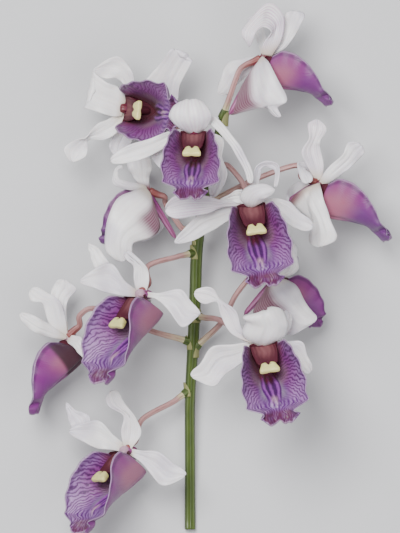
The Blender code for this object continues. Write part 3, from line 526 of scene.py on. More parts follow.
class DendrobiumTepalLook(bpy.types.PropertyGroup):
    """Petals and sepals"""

    thickness: length_setting("Thickness", "Of a blade at its middle", 0.0007)
    margin_share: FloatProperty(
        name="Margin share", description="Thickness of the margin", default=0.45, min=0.1, max=1.0, subtype="FACTOR"
    )
    wave: length_setting("Margin wave", "How far the margin waves", 0.0005)
    vein_count: IntProperty(name="Veins", description="Number of veins across a blade", default=9)
    white: colour_setting("White", "Lit petal", (0.80, 0.78, 0.77))
    shade: colour_setting("Shade", "Cooler patches", (0.50, 0.46, 0.56))
    blush: colour_setting("Blush", "Maroon edge", (0.12, 0.008, 0.045))
    vein: colour_setting("Vein", "Lilac veins", (0.50, 0.22, 0.46))
    root: colour_setting("Root", "Tint at the root", (0.52, 0.42, 0.30))


class DendrobiumLipLook(bpy.types.PropertyGroup):
    """Lips"""

    thickness: length_setting("Thickness", "Of the lip at its middle", 0.0007)
    keel_height: length_setting("Keel height", "Of the three ridges", 0.0016)
    frill: length_setting("Frill", "How far the margin waves", 0.0006)
    vein_count: FloatProperty(name="Veins", description="Number of veins along a lobe", default=18.0)
    pale: colour_setting("Pale", "Beside the keels", (0.21, 0.16, 0.24))
    violet: colour_setting("Violet", "Walls", (0.10, 0.013, 0.15))
    magenta: colour_setting("Magenta", "Richest zone", (0.17, 0.01, 0.15))
    dark: colour_setting("Dark", "Dark veins", (0.045, 0.003, 0.06))
    vein: colour_setting("Vein", "Light veins", (0.40, 0.23, 0.50))
    keel: colour_setting("Keel", "Between the ridges", (0.28, 0.07, 0.36))
    bar: colour_setting("Bar", "Dark ridges", (0.07, 0.006, 0.11))
    cream: colour_setting("Cream", "Ridges at their end", (0.46, 0.28, 0.36))
    salmon: colour_setting("Salmon", "Outside, at the root", (0.34, 0.10, 0.15))
    outer: colour_setting("Outer", "Outside, violet", (0.13, 0.025, 0.16))
    maroon: colour_setting("Maroon", "Throat", (0.12, 0.014, 0.024))
    # Dark maroon deepened with painted shade, at the root of some lips.
    shaded_root: colour_setting("Dark root", "In the shade", (0.014, 0.0015, 0.004))
    tan: colour_setting("Tan", "Where the throat ends", (0.27, 0.17, 0.18))
    edge: colour_setting("Edge", "Thin margin", (0.50, 0.34, 0.52))


class DendrobiumColumnLook(bpy.types.PropertyGroup):
    """Columns and anther caps"""

    maroon: colour_setting("Maroon", "Column", (0.065, 0.008, 0.018))
    # Its pale streaks, also used for the pale middle band, which is partly a painted highlight.
    streak_and_highlight: colour_setting("Streak", "Column streaks", (0.21, 0.08, 0.085))
    cap: colour_setting("Cap", "Anther cap", (0.68, 0.63, 0.24))
    cap_shade: colour_setting("Cap shade", "Creases", (0.42, 0.36, 0.13))


class DendrobiumStalkLook(bpy.types.PropertyGroup):
    """Stem and pedicels"""

    green: colour_setting("Green", "Stem", (0.065, 0.10, 0.014))
    dark_green: colour_setting("Dark green", "Stem streaks", (0.03, 0.05, 0.008))
    bract: colour_setting("Bract", "Papery scales", (0.24, 0.24, 0.09))
    pedicel_foot: colour_setting("Foot", "Pedicel by the stem", (0.52, 0.50, 0.28))
    pedicel: colour_setting("Pedicel", "Its middle", (0.42, 0.23, 0.22))
    ovary: colour_setting("Ovary", "By the bloom", (0.21, 0.05, 0.045))


class DendrobiumStageLook(bpy.types.PropertyGroup):
    """Floor, lights and camera"""

    floor: colour_setting("Floor", "Floor colour", (0.56, 0.56, 0.57))
    camera_height: length_setting("Camera height", "Above the floor", 6.0)
    key_power: power_setting("Key light", "Power of the main light", 36.0)
    fill_power: power_setting("Fill light", "Power of the fill light", 10.0)


def place(x, y, z):
    """A plan place and a height as a point in millimetres."""
    return Vector(((x - PLAN_MIDDLE.x) * PLAN_STEP, (PLAN_MIDDLE.y - y) * PLAN_STEP, z)) + PLAN_SHIFT


def between(values, share):
    """The value at a share of a list, on a smooth curve through all of them."""
    where = min(max(share, 0.0), 1.0) * (len(values) - 1)
    i = min(int(where), len(values) - 2)
    t = where - i
    b, c = values[i], values[i + 1]
    a = values[i - 1] if i else b + (b - c)
    d = values[i + 2] if i + 2 < len(values) else c + (c - b)
    return 0.5 * (2 * b + (c - a) * t + (2 * a - 5 * b + 4 * c - d) * t * t + (3 * b - a - 3 * c + d) * t**3)


def along(points, steps):
    """Points on a smooth curve through some points."""
    return [between(points, i / steps) for i in range(steps + 1)]


def smooth(low, high, value):
    """0 below low, 1 above high, and a soft step between."""
    t = min(max((value - low) / (high - low), 0.0), 1.0)
    return t * t * (3.0 - 2.0 * t)


def hump(value, width):
    """1 at 0, and soft slopes to both sides."""
    return math.exp(-((value / width) ** 2))


def look_axes(look):
    """The bloom's right, up and forward directions, as the columns of a matrix."""
    turn, down, roll = (math.radians(a) for a in look)
    return Matrix.Rotation(turn, 3, "Y") @ Matrix.Rotation(down, 3, "X") @ Matrix.Rotation(roll, 3, "Z")


def bloom_of(bloom):
    """A bloom's axes and the place of its heart."""
    return look_axes(bloom["look"]), place(*bloom["heart"])


def new_sheet():
    """An empty bmesh with a UV map, and a thickness weight and the strengths of three markings for each vertex."""
    bm = bmesh.new()
    bm.loops.layers.uv.new("UVMap")
    bm.verts.layers.deform.verify()
    for marking in ("vein_strength", "blush", "root_tint"):
        bm.verts.layers.float.new(marking)
    return bm


def layers_of(bm):
    """A sheet's layers: the thickness weight and the strengths of its three markings."""
    strengths = bm.verts.layers.float
    return bm.verts.layers.deform.active, strengths["vein_strength"], strengths["blush"], strengths["root_tint"]


def new_grid(bm, across, along_it):
    """The vertices of a new square grid, to be bent into shape."""
    made = bmesh.ops.create_grid(bm, x_segments=across, y_segments=along_it, size=1.0, calc_uvs=True)
    return made["verts"]


def on_grid(vert):
    """How far along a new grid a vertex is, from 0 to 1, and how far to its side, from -1 to 1."""
    return (vert.co.y + 1) / 2, vert.co.x


def finish_piece(name, bm, materials, node):
    """The bmesh, given in millimetres, as a smooth object in metres that stands for a node."""
    bmesh.ops.scale(bm, vec=Vector((MM, MM, MM)), verts=bm.verts)
    mesh = bpy.data.meshes.new(name)
    bm.to_mesh(mesh)
    bm.free()
    mesh.shade_smooth()
    for material in materials:
        mesh.materials.append(material)
    obj = bpy.data.objects.new(name, mesh)
    bpy.context.scene.collection.objects.link(obj)
    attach(obj, "root")
    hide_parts(node)
    return obj


def finish_each_bloom(build, ending, materials, slot):
    """One piece for every bloom, which a function builds in an empty sheet."""
    pieces = []
    for name, bloom in BLOOMS.items():
        bm = new_sheet()
        build(bm, bloom)
        pieces.append(finish_piece(name + ending, bm, materials, f"{name}_{slot}"))
    return pieces


def give_thickness(obj, thickness, margin_share, other_side=0):
    """A blade's thickness, which thins out towards its margin."""
    obj.vertex_groups.new(name="thickness")
    skin = obj.modifiers.new("thickness", "SOLIDIFY")
    skin.thickness = thickness
    skin.offset = 0.0
    skin.vertex_group = "thickness"
    skin.thickness_vertex_group = margin_share
    skin.material_offset = other_side
    skin.material_offset_rim = other_side


def add_tepals(bm, bloom, look):
    """All petals and sepals of one bloom."""
    axes, _ = bloom_of(bloom)
    for number, tepal in enumerate(bloom["tepals"]):
        add_tepal(bm, tepal, number, bloom, look, axes @ Vector((0, 0, 1)))
    flatten_at_table(bm)


def add_tepal(bm, tepal, number, bloom, look, forward):
    """A tepal's blade between its two edges, dished and waved, with a midrib, a rounded tip and perhaps a fold."""
    key, height = (bloom["name"], number), bloom["heart"][2]
    left, right = ([place(x, y, height + z) for x, y, z in edge] for edge in tepal[:2])
    depth = tepal[2] if len(tepal) > 2 else TEPAL_DISH
    blush = BLUSHES.get(key)
    fold_side, fold_shift, fold_depth = FOLDS.get(key, (0.0, 0.0, 0.0))
    sunk = LIMB_SUNK if key in LIMBS else 0.0
    verts = new_grid(bm, *TEPAL_CELLS)
    weights, strengths, blush_and_shade_marks, root_tints = layers_of(bm)
    for vert in verts:
        share, side = on_grid(vert)
        out = abs(side)
        a, b = between(left, share), between(right, share)
        ahead = between(left, share + STEP_ALONG) + between(right, share + STEP_ALONG)
        behind = between(left, share - STEP_ALONG) + between(right, share - STEP_ALONG)
        normal = (ahead - behind).cross(b - a).normalized()
        facing = min(max(DISH_TURNS * normal.dot(forward), -1.0), 1.0)
        tip = max(0.0, (share - TIP_FROM) / (1.0 - TIP_FROM))
        narrow = TIP_WIDTH + (1.0 - TIP_WIDTH) * math.sqrt(1.0 - min(tip, 1.0) ** 2)
        width = (b - a).length
        dish = depth * width * (1 - side * side)
        midrib = MIDRIB_HEIGHT * width * hump(side, MIDRIB_WIDTH) * smooth(*MIDRIB_GROWS, share)
        start = number * WAVES_NEXT_TEPAL + (WAVES_RIGHT if side > 0 else 0.0)
        wave = look.wave / MM * out**3 * math.sin(share * MARGIN_WAVES + start)
        groove = GROOVE_DEPTH * math.sin(GROOVES * side + number) * (1.0 - out**2)
        ripple = (wave + groove) * smooth(*WAVES_GROW, share)
        centre = a.lerp(b, 0.5)
        centre.z -= sunk * (1.0 - smooth(0.0, LIMB_SUNK_TO, share))
        vert.co = centre + (b - a) * 0.5 * side * narrow - normal * facing * (dish + midrib) + normal * ripple
        beyond = smooth(-FOLD_SOFTNESS, FOLD_SOFTNESS, side - fold_side - fold_shift * share)
        vert.co.z -= fold_depth * beyond * smooth(*FOLD_GROWS, share) * (1.0 - tip)
        vert[weights][0] = (1.0 - out**4) * (1.0 - tip**2)
        vert[strengths] = PETAL_VEINS.get(key, FAINT_VEINS)
        vert[root_tints] = 0.0 if sunk else ROOT_TINT
        if blush:
            vert[blush_and_shade_marks] = smooth(*blush[:2], side) * (1.0 - smooth(*blush[2:], share))


def wall_spread(out):
    """How far a lip's wall stands to the side, at a share of the way from floor to margin."""
    return STRAIGHT_SPREAD * out + (1.0 - STRAIGHT_SPREAD) * math.sin(math.pi / 2 * out)


def keels_at(share, out, look):
    """How high the three ridges and the swelling under them stand on the lip's floor."""
    grown = smooth(*KEELS_RISE, share) * (1.0 - smooth(*KEELS_FALL, share))
    drawn = out / (1.0 - KEELS_CLOSE * smooth(*KEELS_MEET, share))
    ridges = hump(drawn, KEEL_WIDTH) + OUTER_KEEL_HEIGHT * hump(drawn - OUTER_KEEL_AT, KEEL_WIDTH)
    return look.keel_height / MM * grown * ridges + KEEL_BED * grown * (1.0 - smooth(*KEEL_BED_EDGE, out))


def lip_point(share, side, look, floor_line, folded):
    """A point of the lip in the bloom's own axes: a boat with tall walls, three keels and a narrow frilled lobe."""
    out, right = abs(side), 1.0 if side > 0 else 0.0
    lobe = smooth(LOBE_FROM, LOBE_TO, share)
    end = max(0.0, (share - END_FROM) / END_LENGTH)
    narrow = 1.0 - LOBE_NARROWS * lobe + LOBE_SPREADS * smooth(LOBE_TO, LOBE_SPREADS_TO, share)
    narrow *= math.sqrt(1.0 - END_ROUNDS * end * end)
    opened = (1.0 - LOBE_CLOSES * lobe) * (1.0 - right * folded * smooth(*WALL_FOLDS, share))
    wall = between(floor_line, share).lerp(between(LIP_MARGIN, share), (out * opened) ** WALL_CURVE)
    keels = KEEL_LEAN * keels_at(share, out, look)
    plain = PLAIN_FRILL * math.sin(PLAIN_WAVES * side)
    plain *= max(0.0, share - PLAIN_FRILL_FROM) / (1.0 - PLAIN_FRILL_FROM)
    frill = look.frill / MM * (FRILL_AT_ROOT + FRILL_GROWS * share**2)
    flutter = frill * out**5 * math.sin(share * FLUTTERS + right)
    curl = frill * lobe * (1.0 - CURL_UNEVEN + CURL_UNEVEN * math.sin(side * CURL_SWINGS))
    curl *= math.sin(side * CURLS + CURL_SHIFT) * smooth(*CURL_EDGE, max(out, end))
    scallop = SCALLOP * end * (1.0 - (2.0 * out - 1.0) ** 2)
    swing = math.sin(side * LOBE_CUP_WAVES[0] + share * LOBE_CUP_WAVES[1])
    cup = LOBE_CUP * lobe * out * out * (1.0 + LOBE_CUP_UNEVEN * swing)
    pleat = PLEAT_DEPTH * math.sin((share - VEIN_LEAN * out) * 2.0 * math.pi * look.vein_count)
    pleat *= smooth(*PLEATS_RISE, out) * (1.0 - smooth(*PLEATS_FALL, out))
    reach = between(LIP_HALF_WIDTH, share) * narrow * wall_spread(out)
    x = math.copysign(reach + flutter + pleat, side) if out > MIDDLE_LINE else 0.0
    up = wall.y + keels + 0.5 * flutter + 0.5 * curl - scallop
    return Vector((x, up, wall.x + keels + plain + curl + 0.5 * scallop + cup))


def lip_floor(bloom):
    """The floor line of a bloom's lip."""
    return [Vector(p) for p in (LONG_LIP_FLOOR if "long_root" in bloom else LIP_FLOOR)]


def add_lip(bm, bloom, look):
    """The lip of one bloom, in place."""
    axes, heart = bloom_of(bloom)
    name, floor_line = bloom["name"], lip_floor(bloom)
    folded = FOLDED_WALLS.get(name, 0.0)
    verts = new_grid(bm, *LIP_CELLS)
    weights, strengths, blush_and_shade_marks, root_tints = layers_of(bm)
    for vert in verts:
        share, side = on_grid(vert)
        vert.co = heart + axes @ (lip_point(share, side, look, floor_line, folded) * bloom["size"])
        vert[weights][0] = (1.0 - abs(side) ** 6) * (1.0 - smooth(END_FROM, 1.0, share))
        vert[strengths] = LIP_DEPTHS.get(name, 0.0)
        vert[root_tints] = ROSY_LIPS.get(name, 0.0)
        # The blush layer here marks a dark maroon root deepened with painted shade.
        if name in SHADED_LIP_ROOTS:
            low, high, further = SHADED_LIP_ROOTS[name]
            vert[blush_and_shade_marks] = 1.0 - smooth(low, high, share - further * (1.0 - abs(side)))


def close_seam(bm, verts, sides):
    """Joins the seam of a rolled grid and fills its open ends."""
    known = set(bm.verts) - set(verts)
    bmesh.ops.remove_doubles(bm, verts=verts, dist=SAME_POINT)
    added = [vert for vert in bm.verts if vert not in known]
    edges = {edge for vert in added for edge in vert.link_edges if edge.is_boundary}
    bmesh.ops.holes_fill(bm, edges=list(edges), sides=sides + 2)
    faces = {face for vert in added for face in vert.link_faces}
    bmesh.ops.recalc_face_normals(bm, faces=list(faces))


def add_stalk(bm, points, radii, sides):
    """A grid rolled into a stalk along points, closed at both ends."""
    rows = len(points) - 1
    directions = [(points[min(i + 1, rows)] - points[max(i - 1, 0)]).normalized() for i in range(rows + 1)]
    side = directions[0].orthogonal().normalized()
    frames = []
    for direction in directions:
        side = (side - direction * side.dot(direction)).normalized()
        frames.append((side, direction.cross(side)))
    verts = new_grid(bm, sides, rows)
    for vert in verts:
        share, turn = on_grid(vert)
        row, angle = round(share * rows), (turn + 1) * math.pi
        first, second = frames[row]
        vert.co = points[row] + (first * math.cos(angle) + second * math.sin(angle)) * radii[row]
    close_seam(bm, verts, sides)


def rounded(radii, steps, cap):
    """Radii along a stalk, drawn in at both ends over a share of its length."""
    made = []
    for i in range(steps + 1):
        share = i / steps
        near = min(share, 1.0 - share) / cap
        full = math.sqrt(1.0 - (1.0 - near) ** 2) if near < 1.0 else 1.0
        made.append(between(radii, share) * full + END_RADIUS)
    return made


def foot_on_stem(plan_y):
    """The point of the stem's middle line beside a plan Y."""
    for (x0, y0, z0, _), (x1, y1, z1, _) in zip(STEM_LINE, STEM_LINE[1:]):
        if y1 <= plan_y <= y0:
            t = (y0 - plan_y) / (y0 - y1)
            return place(x0 + (x1 - x0) * t, plan_y, z0 + (z1 - z0) * t)
    return place(*STEM_LINE[-1][:3])


def pedicel_guide(bloom):
    """The pedicel's guide points from the stem to the heart, and the direction in which it leaves the stem."""
    axes, heart = bloom_of(bloom)
    foot = foot_on_stem(bloom["foot"])
    by = [place(*p) for p in bloom["by"]]
    leave = (by[0] - foot).normalized()
    back = ((by[-1] - heart).normalized() + axes @ Vector((0, 0, -STUB_LEAN_BACK))).normalized()
    start = foot + leave * (BOSS_REACH - PEDICEL_SUNK)
    end = heart + back * STUB_LENGTH
    return [start, start + leave * PEDICEL_END_REACH, *by, end + back * PEDICEL_END_REACH, end, heart + back], leave


def add_pedicel(bm, bloom):
    """A bloom's thin stalk, from its boss on the stem to the heart."""
    guide, _ = pedicel_guide(bloom)
    add_stalk(bm, along(guide, PEDICEL_STEPS), rounded(PEDICEL_RADII, PEDICEL_STEPS, PEDICEL_ROUNDED), STALK_SIDES)


def add_boss(bm, bloom):
    """The knob on the stem that a pedicel grows from."""
    _, leave = pedicel_guide(bloom)
    foot = foot_on_stem(bloom["foot"])
    line = along([foot, foot + leave * BOSS_MIDDLE, foot + leave * BOSS_REACH], BOSS_STEPS)
    add_stalk(bm, line, rounded(BOSS_RADII, BOSS_STEPS, BOSS_ROUNDED), STALK_SIDES)


def flatten_at_table(bm):
    """Presses whatever reaches the table flat on it."""
    for vert in bm.verts:
        vert.co.z = max(vert.co.z, TABLE_REST)


def add_spur(bm, bloom):
    """The heart and the spur behind it, whose tip the table gives for some blooms."""
    axes, heart = bloom_of(bloom)
    size = bloom["size"]
    tip = place(*bloom["spur"]) if "spur" in bloom else heart + axes @ SPUR_ALONG * SPUR_LENGTH * size
    bulge = (heart - tip).normalized() * HEART_RADIUS
    points = along([heart + bulge * HEART_BULGE, heart, heart.lerp(tip, 0.5), tip], SPUR_STEPS)
    radii = [SPUR_ROOT_RADIUS, *(radius * size for radius in SPUR_RADII)]
    add_stalk(bm, points, rounded(radii, SPUR_STEPS, SPUR_ROUNDED), SPUR_SIDES)
    *_, pale_hearts = layers_of(bm)
    for vert in bm.verts:
        vert[pale_hearts] = 1.0 if "long_root" in bloom else 0.0


def column_sides():
    """The column's sideways direction and the one from it to the lip, both in the bloom's axes."""
    sideways = Vector((1, 0, 0))
    under = COLUMN_ALONG.cross(sideways).normalized()
    return sideways, under if under.z <= 0 else -under


def add_column(bm, bloom):
    """A broad short column that leans over the lip, hollow on top, with its foot and the throat's wall."""
    axes, heart = bloom_of(bloom)
    size = bloom["size"]
    sideways, under = column_sides()
    verts = new_grid(bm, *COLUMN_CELLS)
    for vert in verts:
        share, side = on_grid(vert)
        turn, closing = side * math.pi, smooth(COLUMN_CLOSES_FROM, 1.0, share)
        x = math.sin(turn) * (between(COLUMN_WIDTH, share) * size) * (1.0 - COLUMN_NARROWS * closing)
        depth = math.cos(turn) * between(COLUMN_DEPTH, share) * (1.0 - COLUMN_THINS * closing)
        if depth < 0:
            depth *= COLUMN_UNDER_DEPTH + (1.0 - COLUMN_UNDER_DEPTH) * abs(math.sin(turn))
        else:
            depth *= 1.0 - COLUMN_HOLLOW * math.cos(turn) ** 2
        reach = HEART_RADIUS + JOINT_GAP + COLUMN_LENGTH * size * share - COLUMN_SUNK * (1.0 - share)
        vert.co = heart + axes @ (COLUMN_ALONG.normalized() * reach + sideways * x - under * depth)
    close_seam(bm, verts, COLUMN_CELLS[0])
    add_throat(bm, bloom)
    if size > FOOT_FROM_SIZE:
        points = [heart + axes @ (Vector((0, y, z)) * size) for _, y, z in FOOT_LINE]
        radii = [radius * size * FOOT_SLIM for radius, _, _ in FOOT_LINE]
        add_stalk(bm, along(points, FOOT_STEPS), rounded(radii, FOOT_STEPS, FOOT_ROUNDED), STALK_SIDES)


def lip_edge(out, root):
    """A point of the lip's edge at its root, where the throat's back wall meets it."""
    wall = root.lerp(LIP_MARGIN[0], out**WALL_CURVE)
    return Vector((LIP_HALF_WIDTH[0] * wall_spread(out), wall.y, wall.x))


def add_throat(bm, bloom):
    """The throat's wall behind the column, from the edge of the lip's root to the height of the lip's shoulders."""
    axes, heart = bloom_of(bloom)
    root = lip_floor(bloom)[0]
    shoulder = lip_edge(1.0, root)
    verts = new_grid(bm, *THROAT_CELLS)
    _, _, plain, _ = layers_of(bm)
    for vert in verts:
        share, side = on_grid(vert)
        top = Vector((shoulder.x * abs(side), shoulder.y, shoulder.z - THROAT_DIP * (1.0 - side**4)))
        spot = lip_edge(abs(side), root).lerp(top, min(1.0, share / THROAT_TURN))
        spot += THROAT_BACK * smooth(THROAT_TURN - THROAT_TURN_SOFT, 1.0, share)
        spot.z += THROAT_BULGE * math.sin(math.pi * share) * (1.0 - side * side)
        spot.x = math.copysign(spot.x, side)
        vert.co = heart + axes @ (spot * bloom["size"])
        vert[plain] = 1.0


def add_cap(bm, bloom):
    """The anther cap: a soft wedge, wider at its free end, with a notch in the middle of its edge by the column."""
    axes, heart = bloom_of(bloom)
    size = bloom["size"]
    sideways, under = column_sides()
    middle = HEART_RADIUS + COLUMN_LENGTH * size + 2 * JOINT_GAP + CAP_HALF_LENGTH
    notch_depth, notch_width = CAP_NOTCH
    groove_depth, groove_width = CAP_GROOVE
    bmesh.ops.create_uvsphere(bm, u_segments=CAP_CELLS[0], v_segments=CAP_CELLS[1], radius=1.0, calc_uvs=True)
    for vert in bm.verts:
        x, y, z = (math.copysign(abs(c) ** CAP_BLUNT, c) for c in vert.co)
        width = CAP_HALF_WIDTH * size * (CAP_ROOT_WIDTH + CAP_WIDENS * smooth(-0.4, 1.0, z))
        notch = notch_depth * hump(x, notch_width) * smooth(0.1, 0.9, -z)
        corner = CAP_CORNERS * x * x * smooth(0.2, 1.0, z)
        groove = groove_depth * hump(x, groove_width) * smooth(0.0, 0.6, abs(y))
        depth = y * (CAP_HALF_DEPTH - groove - CAP_THINS * smooth(0.0, 1.0, z))
        reach = middle + z * CAP_HALF_LENGTH + notch + corner
        vert.co = heart + axes @ (COLUMN_ALONG.normalized() * reach + sideways * x * width + under * depth)


def add_bract(bm, bloom):
    """A small pointed scale that clasps the stem under a pedicel."""
    _, leave = pedicel_guide(bloom)
    foot = foot_on_stem(bloom["foot"])
    down = Vector((0, -1, 0))
    side = leave.cross(down).normalized()
    outwards = (leave - down * leave.dot(down)).normalized()
    verts = new_grid(bm, *BRACT_CELLS)
    weights, *_ = layers_of(bm)
    for vert in verts:
        share, turn = on_grid(vert)
        angle = turn * BRACT_CLASP * (1.0 - BRACT_TAPERS * share**2)
        stand = outwards * math.cos(angle) + side * math.sin(angle)
        vert.co = foot + down * BRACT_HALF_LENGTH * (1.0 - 2.0 * share) + stand * between(BRACT_RADII, share)
        vert[weights][0] = 1.0 - abs(turn) ** 3


class Recipe:
    """A node tree with short ways to add to it. Its values are numbers, or the sockets of other nodes."""

    def __init__(self, tree):
        self.tree = tree

    def node(self, kind, inputs=None, **settings):
        """A new node with its settings, and its inputs given as values or linked to sockets."""
        made = self.tree.nodes.new(kind)
        for name, value in settings.items():
            setattr(made, name, value)
        for key, value in (inputs or {}).items():
            if isinstance(value, bpy.types.NodeSocket):
                self.tree.links.new(value, made.inputs[key])
            else:
                made.inputs[key].default_value = value
        return made

    def calc(self, operation, *values, clamp=False):
        """The output of a Math node."""
        return self.node("ShaderNodeMath", dict(enumerate(values)), operation=operation, use_clamp=clamp).outputs[0]

    def times(self, first, *others):
        """The product of all the values."""
        for other in others:
            first = self.calc("MULTIPLY", first, other)
        return first

    def plus(self, first, second):
        """The sum of two values."""
        return self.calc("ADD", first, second)

    def less(self, first, second):
        """The first value less the second."""
        return self.calc("SUBTRACT", first, second)

    def scaled(self, value, factor, offset):
        """A value times a factor, and an offset added."""
        return self.calc("MULTIPLY_ADD", value, factor, offset)

    def rising(self, value, low, high):
        """0 below low, 1 above high, softly between."""
        inputs = {"Value": value, "From Min": low, "From Max": high}
        return self.node("ShaderNodeMapRange", inputs, interpolation_type="SMOOTHSTEP").outputs[0]

    def falling(self, value, low, high):
        """1 below low, 0 above high, softly between."""
        return self.less(1.0, self.rising(value, low, high))

    def band(self, value, rise_from, rise_to, fall_from, fall_to):
        """1 between two soft steps, up and down, and 0 beyond them."""
        return self.times(self.rising(value, rise_from, rise_to), self.falling(value, fall_from, fall_to))

    def noise(self, scale, detail):
        """Uneven values over the piece, from 0 to 1."""
        coords = self.node("ShaderNodeTexCoord").outputs["Object"]
        return self.node("ShaderNodeTexNoise", {"Vector": coords, "Scale": scale, "Detail": detail}).outputs[0]

    def tint(self, amount, first, second):
        """One colour, or a socket that gives one, turned into another by an amount."""
        first, second = (c if isinstance(c, bpy.types.NodeSocket) else (*c, 1.0) for c in (first, second))
        return self.node("ShaderNodeMix", {0: amount, 6: first, 7: second}, data_type="RGBA").outputs[2]

    def layer(self, name):
        """The strength of a marking that the piece's points carry."""
        return self.node("ShaderNodeAttribute", attribute_name=name).outputs["Fac"]

    def veins(self, place, count, width, wander, grain):
        """Wandering lines, from Line and Swell, along the values of a place."""
        inputs = {"Place": place, "Count": count, "Width": width, "Wander": wander, "Grain": grain}
        return self.node("ShaderNodeGroup", inputs, node_tree=vein_lines()).outputs

    def mottle(self, patch, grain):
        """Soft Patches and a fine Grain, both given by how many there are in a metre."""
        return self.node("ShaderNodeGroup", {"Patch": patch, "Grain": grain}, node_tree=mottled()).outputs


class Finish(Recipe):
    """A procedural material in the making: its shader, and the two parts of its UV map, across and along."""

    def __init__(self, name, roughness, sheen=0.0, soft=0.0):
        self.material = bpy.data.materials.new(name)
        self.material.use_nodes = True
        super().__init__(self.material.node_tree)
        self.shader = self.tree.nodes["Principled BSDF"]
        settings = {
            "Roughness": roughness, "Metallic": 0.0, "Sheen Weight": sheen,
            "Subsurface Weight": soft, "Subsurface Radius": LIGHT_SPREAD, "Subsurface Scale": 1.0,
        }
        for socket, value in settings.items():
            self.shader.inputs[socket].default_value = value
        apart = self.node("ShaderNodeSeparateXYZ", {0: self.node("ShaderNodeUVMap", uv_map="UVMap").outputs[0]})
        self.across, self.along = apart.outputs[0], apart.outputs[1]

    def from_middle(self):
        """How far a place is from the middle line of a lip, as a share of the way to its margin."""
        return self.calc("ABSOLUTE", self.scaled(self.across, 2.0, -1.0))

    def paint(self, tone, height, depth):
        """Links a colour and a relief to the shader, and gives the finished material."""
        self.tree.links.new(tone, self.shader.inputs["Base Color"])
        bump = self.node("ShaderNodeBump", {"Height": height, "Strength": 1.0, "Distance": depth})
        self.tree.links.new(bump.outputs[0], self.shader.inputs["Normal"])
        return self.material


def new_group(name, inputs, outputs):
    """A new shader node group of floats: itself, its recipe, the sockets of its inputs and those of its outputs."""
    group = bpy.data.node_groups.new(name, "ShaderNodeTree")
    for socket, default in inputs.items():
        made = group.interface.new_socket(name=socket, in_out="INPUT", socket_type="NodeSocketFloat")
        made.default_value = default
    for socket in outputs:
        group.interface.new_socket(name=socket, in_out="OUTPUT", socket_type="NodeSocketFloat")
    given, result = group.nodes.new("NodeGroupInput"), group.nodes.new("NodeGroupOutput")
    return group, Recipe(group), given.outputs, result.inputs


def vein_lines():
    """A group of wandering parallel lines: Line is 1 on a vein and 0 between two, Swell is a soft wave for relief."""
    found = bpy.data.node_groups.get("vein_lines")
    if found:
        return found
    inputs = {"Place": 0.0, "Count": 9.0, "Width": 0.35, "Wander": 0.25, "Grain": 160.0}
    group, recipe, given, result = new_group("vein_lines", inputs, ("Line", "Swell"))
    wander = recipe.times(recipe.less(recipe.noise(given["Grain"], 2.0), 0.5), given["Wander"])
    turns = recipe.plus(recipe.times(given["Place"], given["Count"]), wander)
    swell = recipe.scaled(recipe.calc("SINE", recipe.times(turns, 2.0 * math.pi)), 0.5, 0.5)
    above = recipe.less(swell, recipe.less(1.0, given["Width"]))
    group.links.new(recipe.calc("DIVIDE", above, given["Width"], clamp=True), result["Line"])
    group.links.new(swell, result["Swell"])
    return group


def mottled():
    """A group that gives soft uneven patches over a surface, from 0 to 1, and a fine grain."""
    found = bpy.data.node_groups.get("mottle")
    if found:
        return found
    group, recipe, given, result = new_group("mottle", {"Patch": 70.0, "Grain": 900.0}, ("Patches", "Grain"))
    for source, target, low, high in (("Patch", "Patches", 0.35, 0.68), ("Grain", "Grain", 0.3, 0.7)):
        group.links.new(recipe.rising(recipe.noise(given[source], 3.0), low, high), result[target])
    return group


def tepal_finish(look):
    """Waxy white with cooler patches, lilac veins along the blade, a tinted root and a striped blush."""
    made = Finish("waxy_white_tepal", roughness=0.42, sheen=0.1, soft=0.12)
    patches = made.mottle(patch=55.0, grain=1100.0)
    small = made.mottle(patch=190.0, grain=2000.0)
    veins = made.veins(made.across, float(look.vein_count), width=0.8, wander=0.5, grain=60.0)
    stripes = made.veins(made.across, 2.4 * look.vein_count, width=0.6, wander=0.8, grain=150.0)
    tone = made.tint(made.times(patches["Patches"], 0.6), look.white, look.shade)
    broken = made.scaled(small["Patches"], -0.5, 1.0)
    tone = made.tint(made.times(veins["Line"], made.layer("vein_strength"), broken), tone, look.vein)
    root = made.times(made.falling(made.along, 0.02, 0.2), made.layer("root_tint"))
    tone = made.tint(root, tone, look.root)
    striped = made.scaled(stripes["Line"], 0.17, 0.81)
    tone = made.tint(made.times(made.layer("blush"), striped), tone, look.blush)
    relief = made.plus(made.times(veins["Swell"], -0.3), made.times(patches["Grain"], 0.25))
    return made.paint(tone, relief, TEPAL_RELIEF)


def lip_inside_finish(look):
    """Violet walls with light and dark wavy veins, pale beside dark keels, a maroon throat and a mottled end lobe."""
    made = Finish("lip_inside", roughness=0.45, sheen=0.05)
    out = made.from_middle()
    patches = made.mottle(patch=180.0, grain=1300.0)
    specks = made.mottle(patch=520.0, grain=2600.0)["Patches"]
    bend = made.scaled(patches["Patches"], 0.05, made.scaled(out, -VEIN_LEAN, made.along))
    veins = made.veins(bend, look.vein_count, width=0.8, wander=1.7, grain=300.0)
    tone = tint_walls(made, look, out, veins)
    tone = made.tint(made.layer("root_tint"), tone, look.magenta)
    tone = tint_keels(made, look, tone, out)
    tone = tint_lobe_and_throat(made, look, tone, out, specks)
    return finish_lip(made, look, tone, out, veins["Swell"], patches["Grain"], LIP_INSIDE_RELIEF)


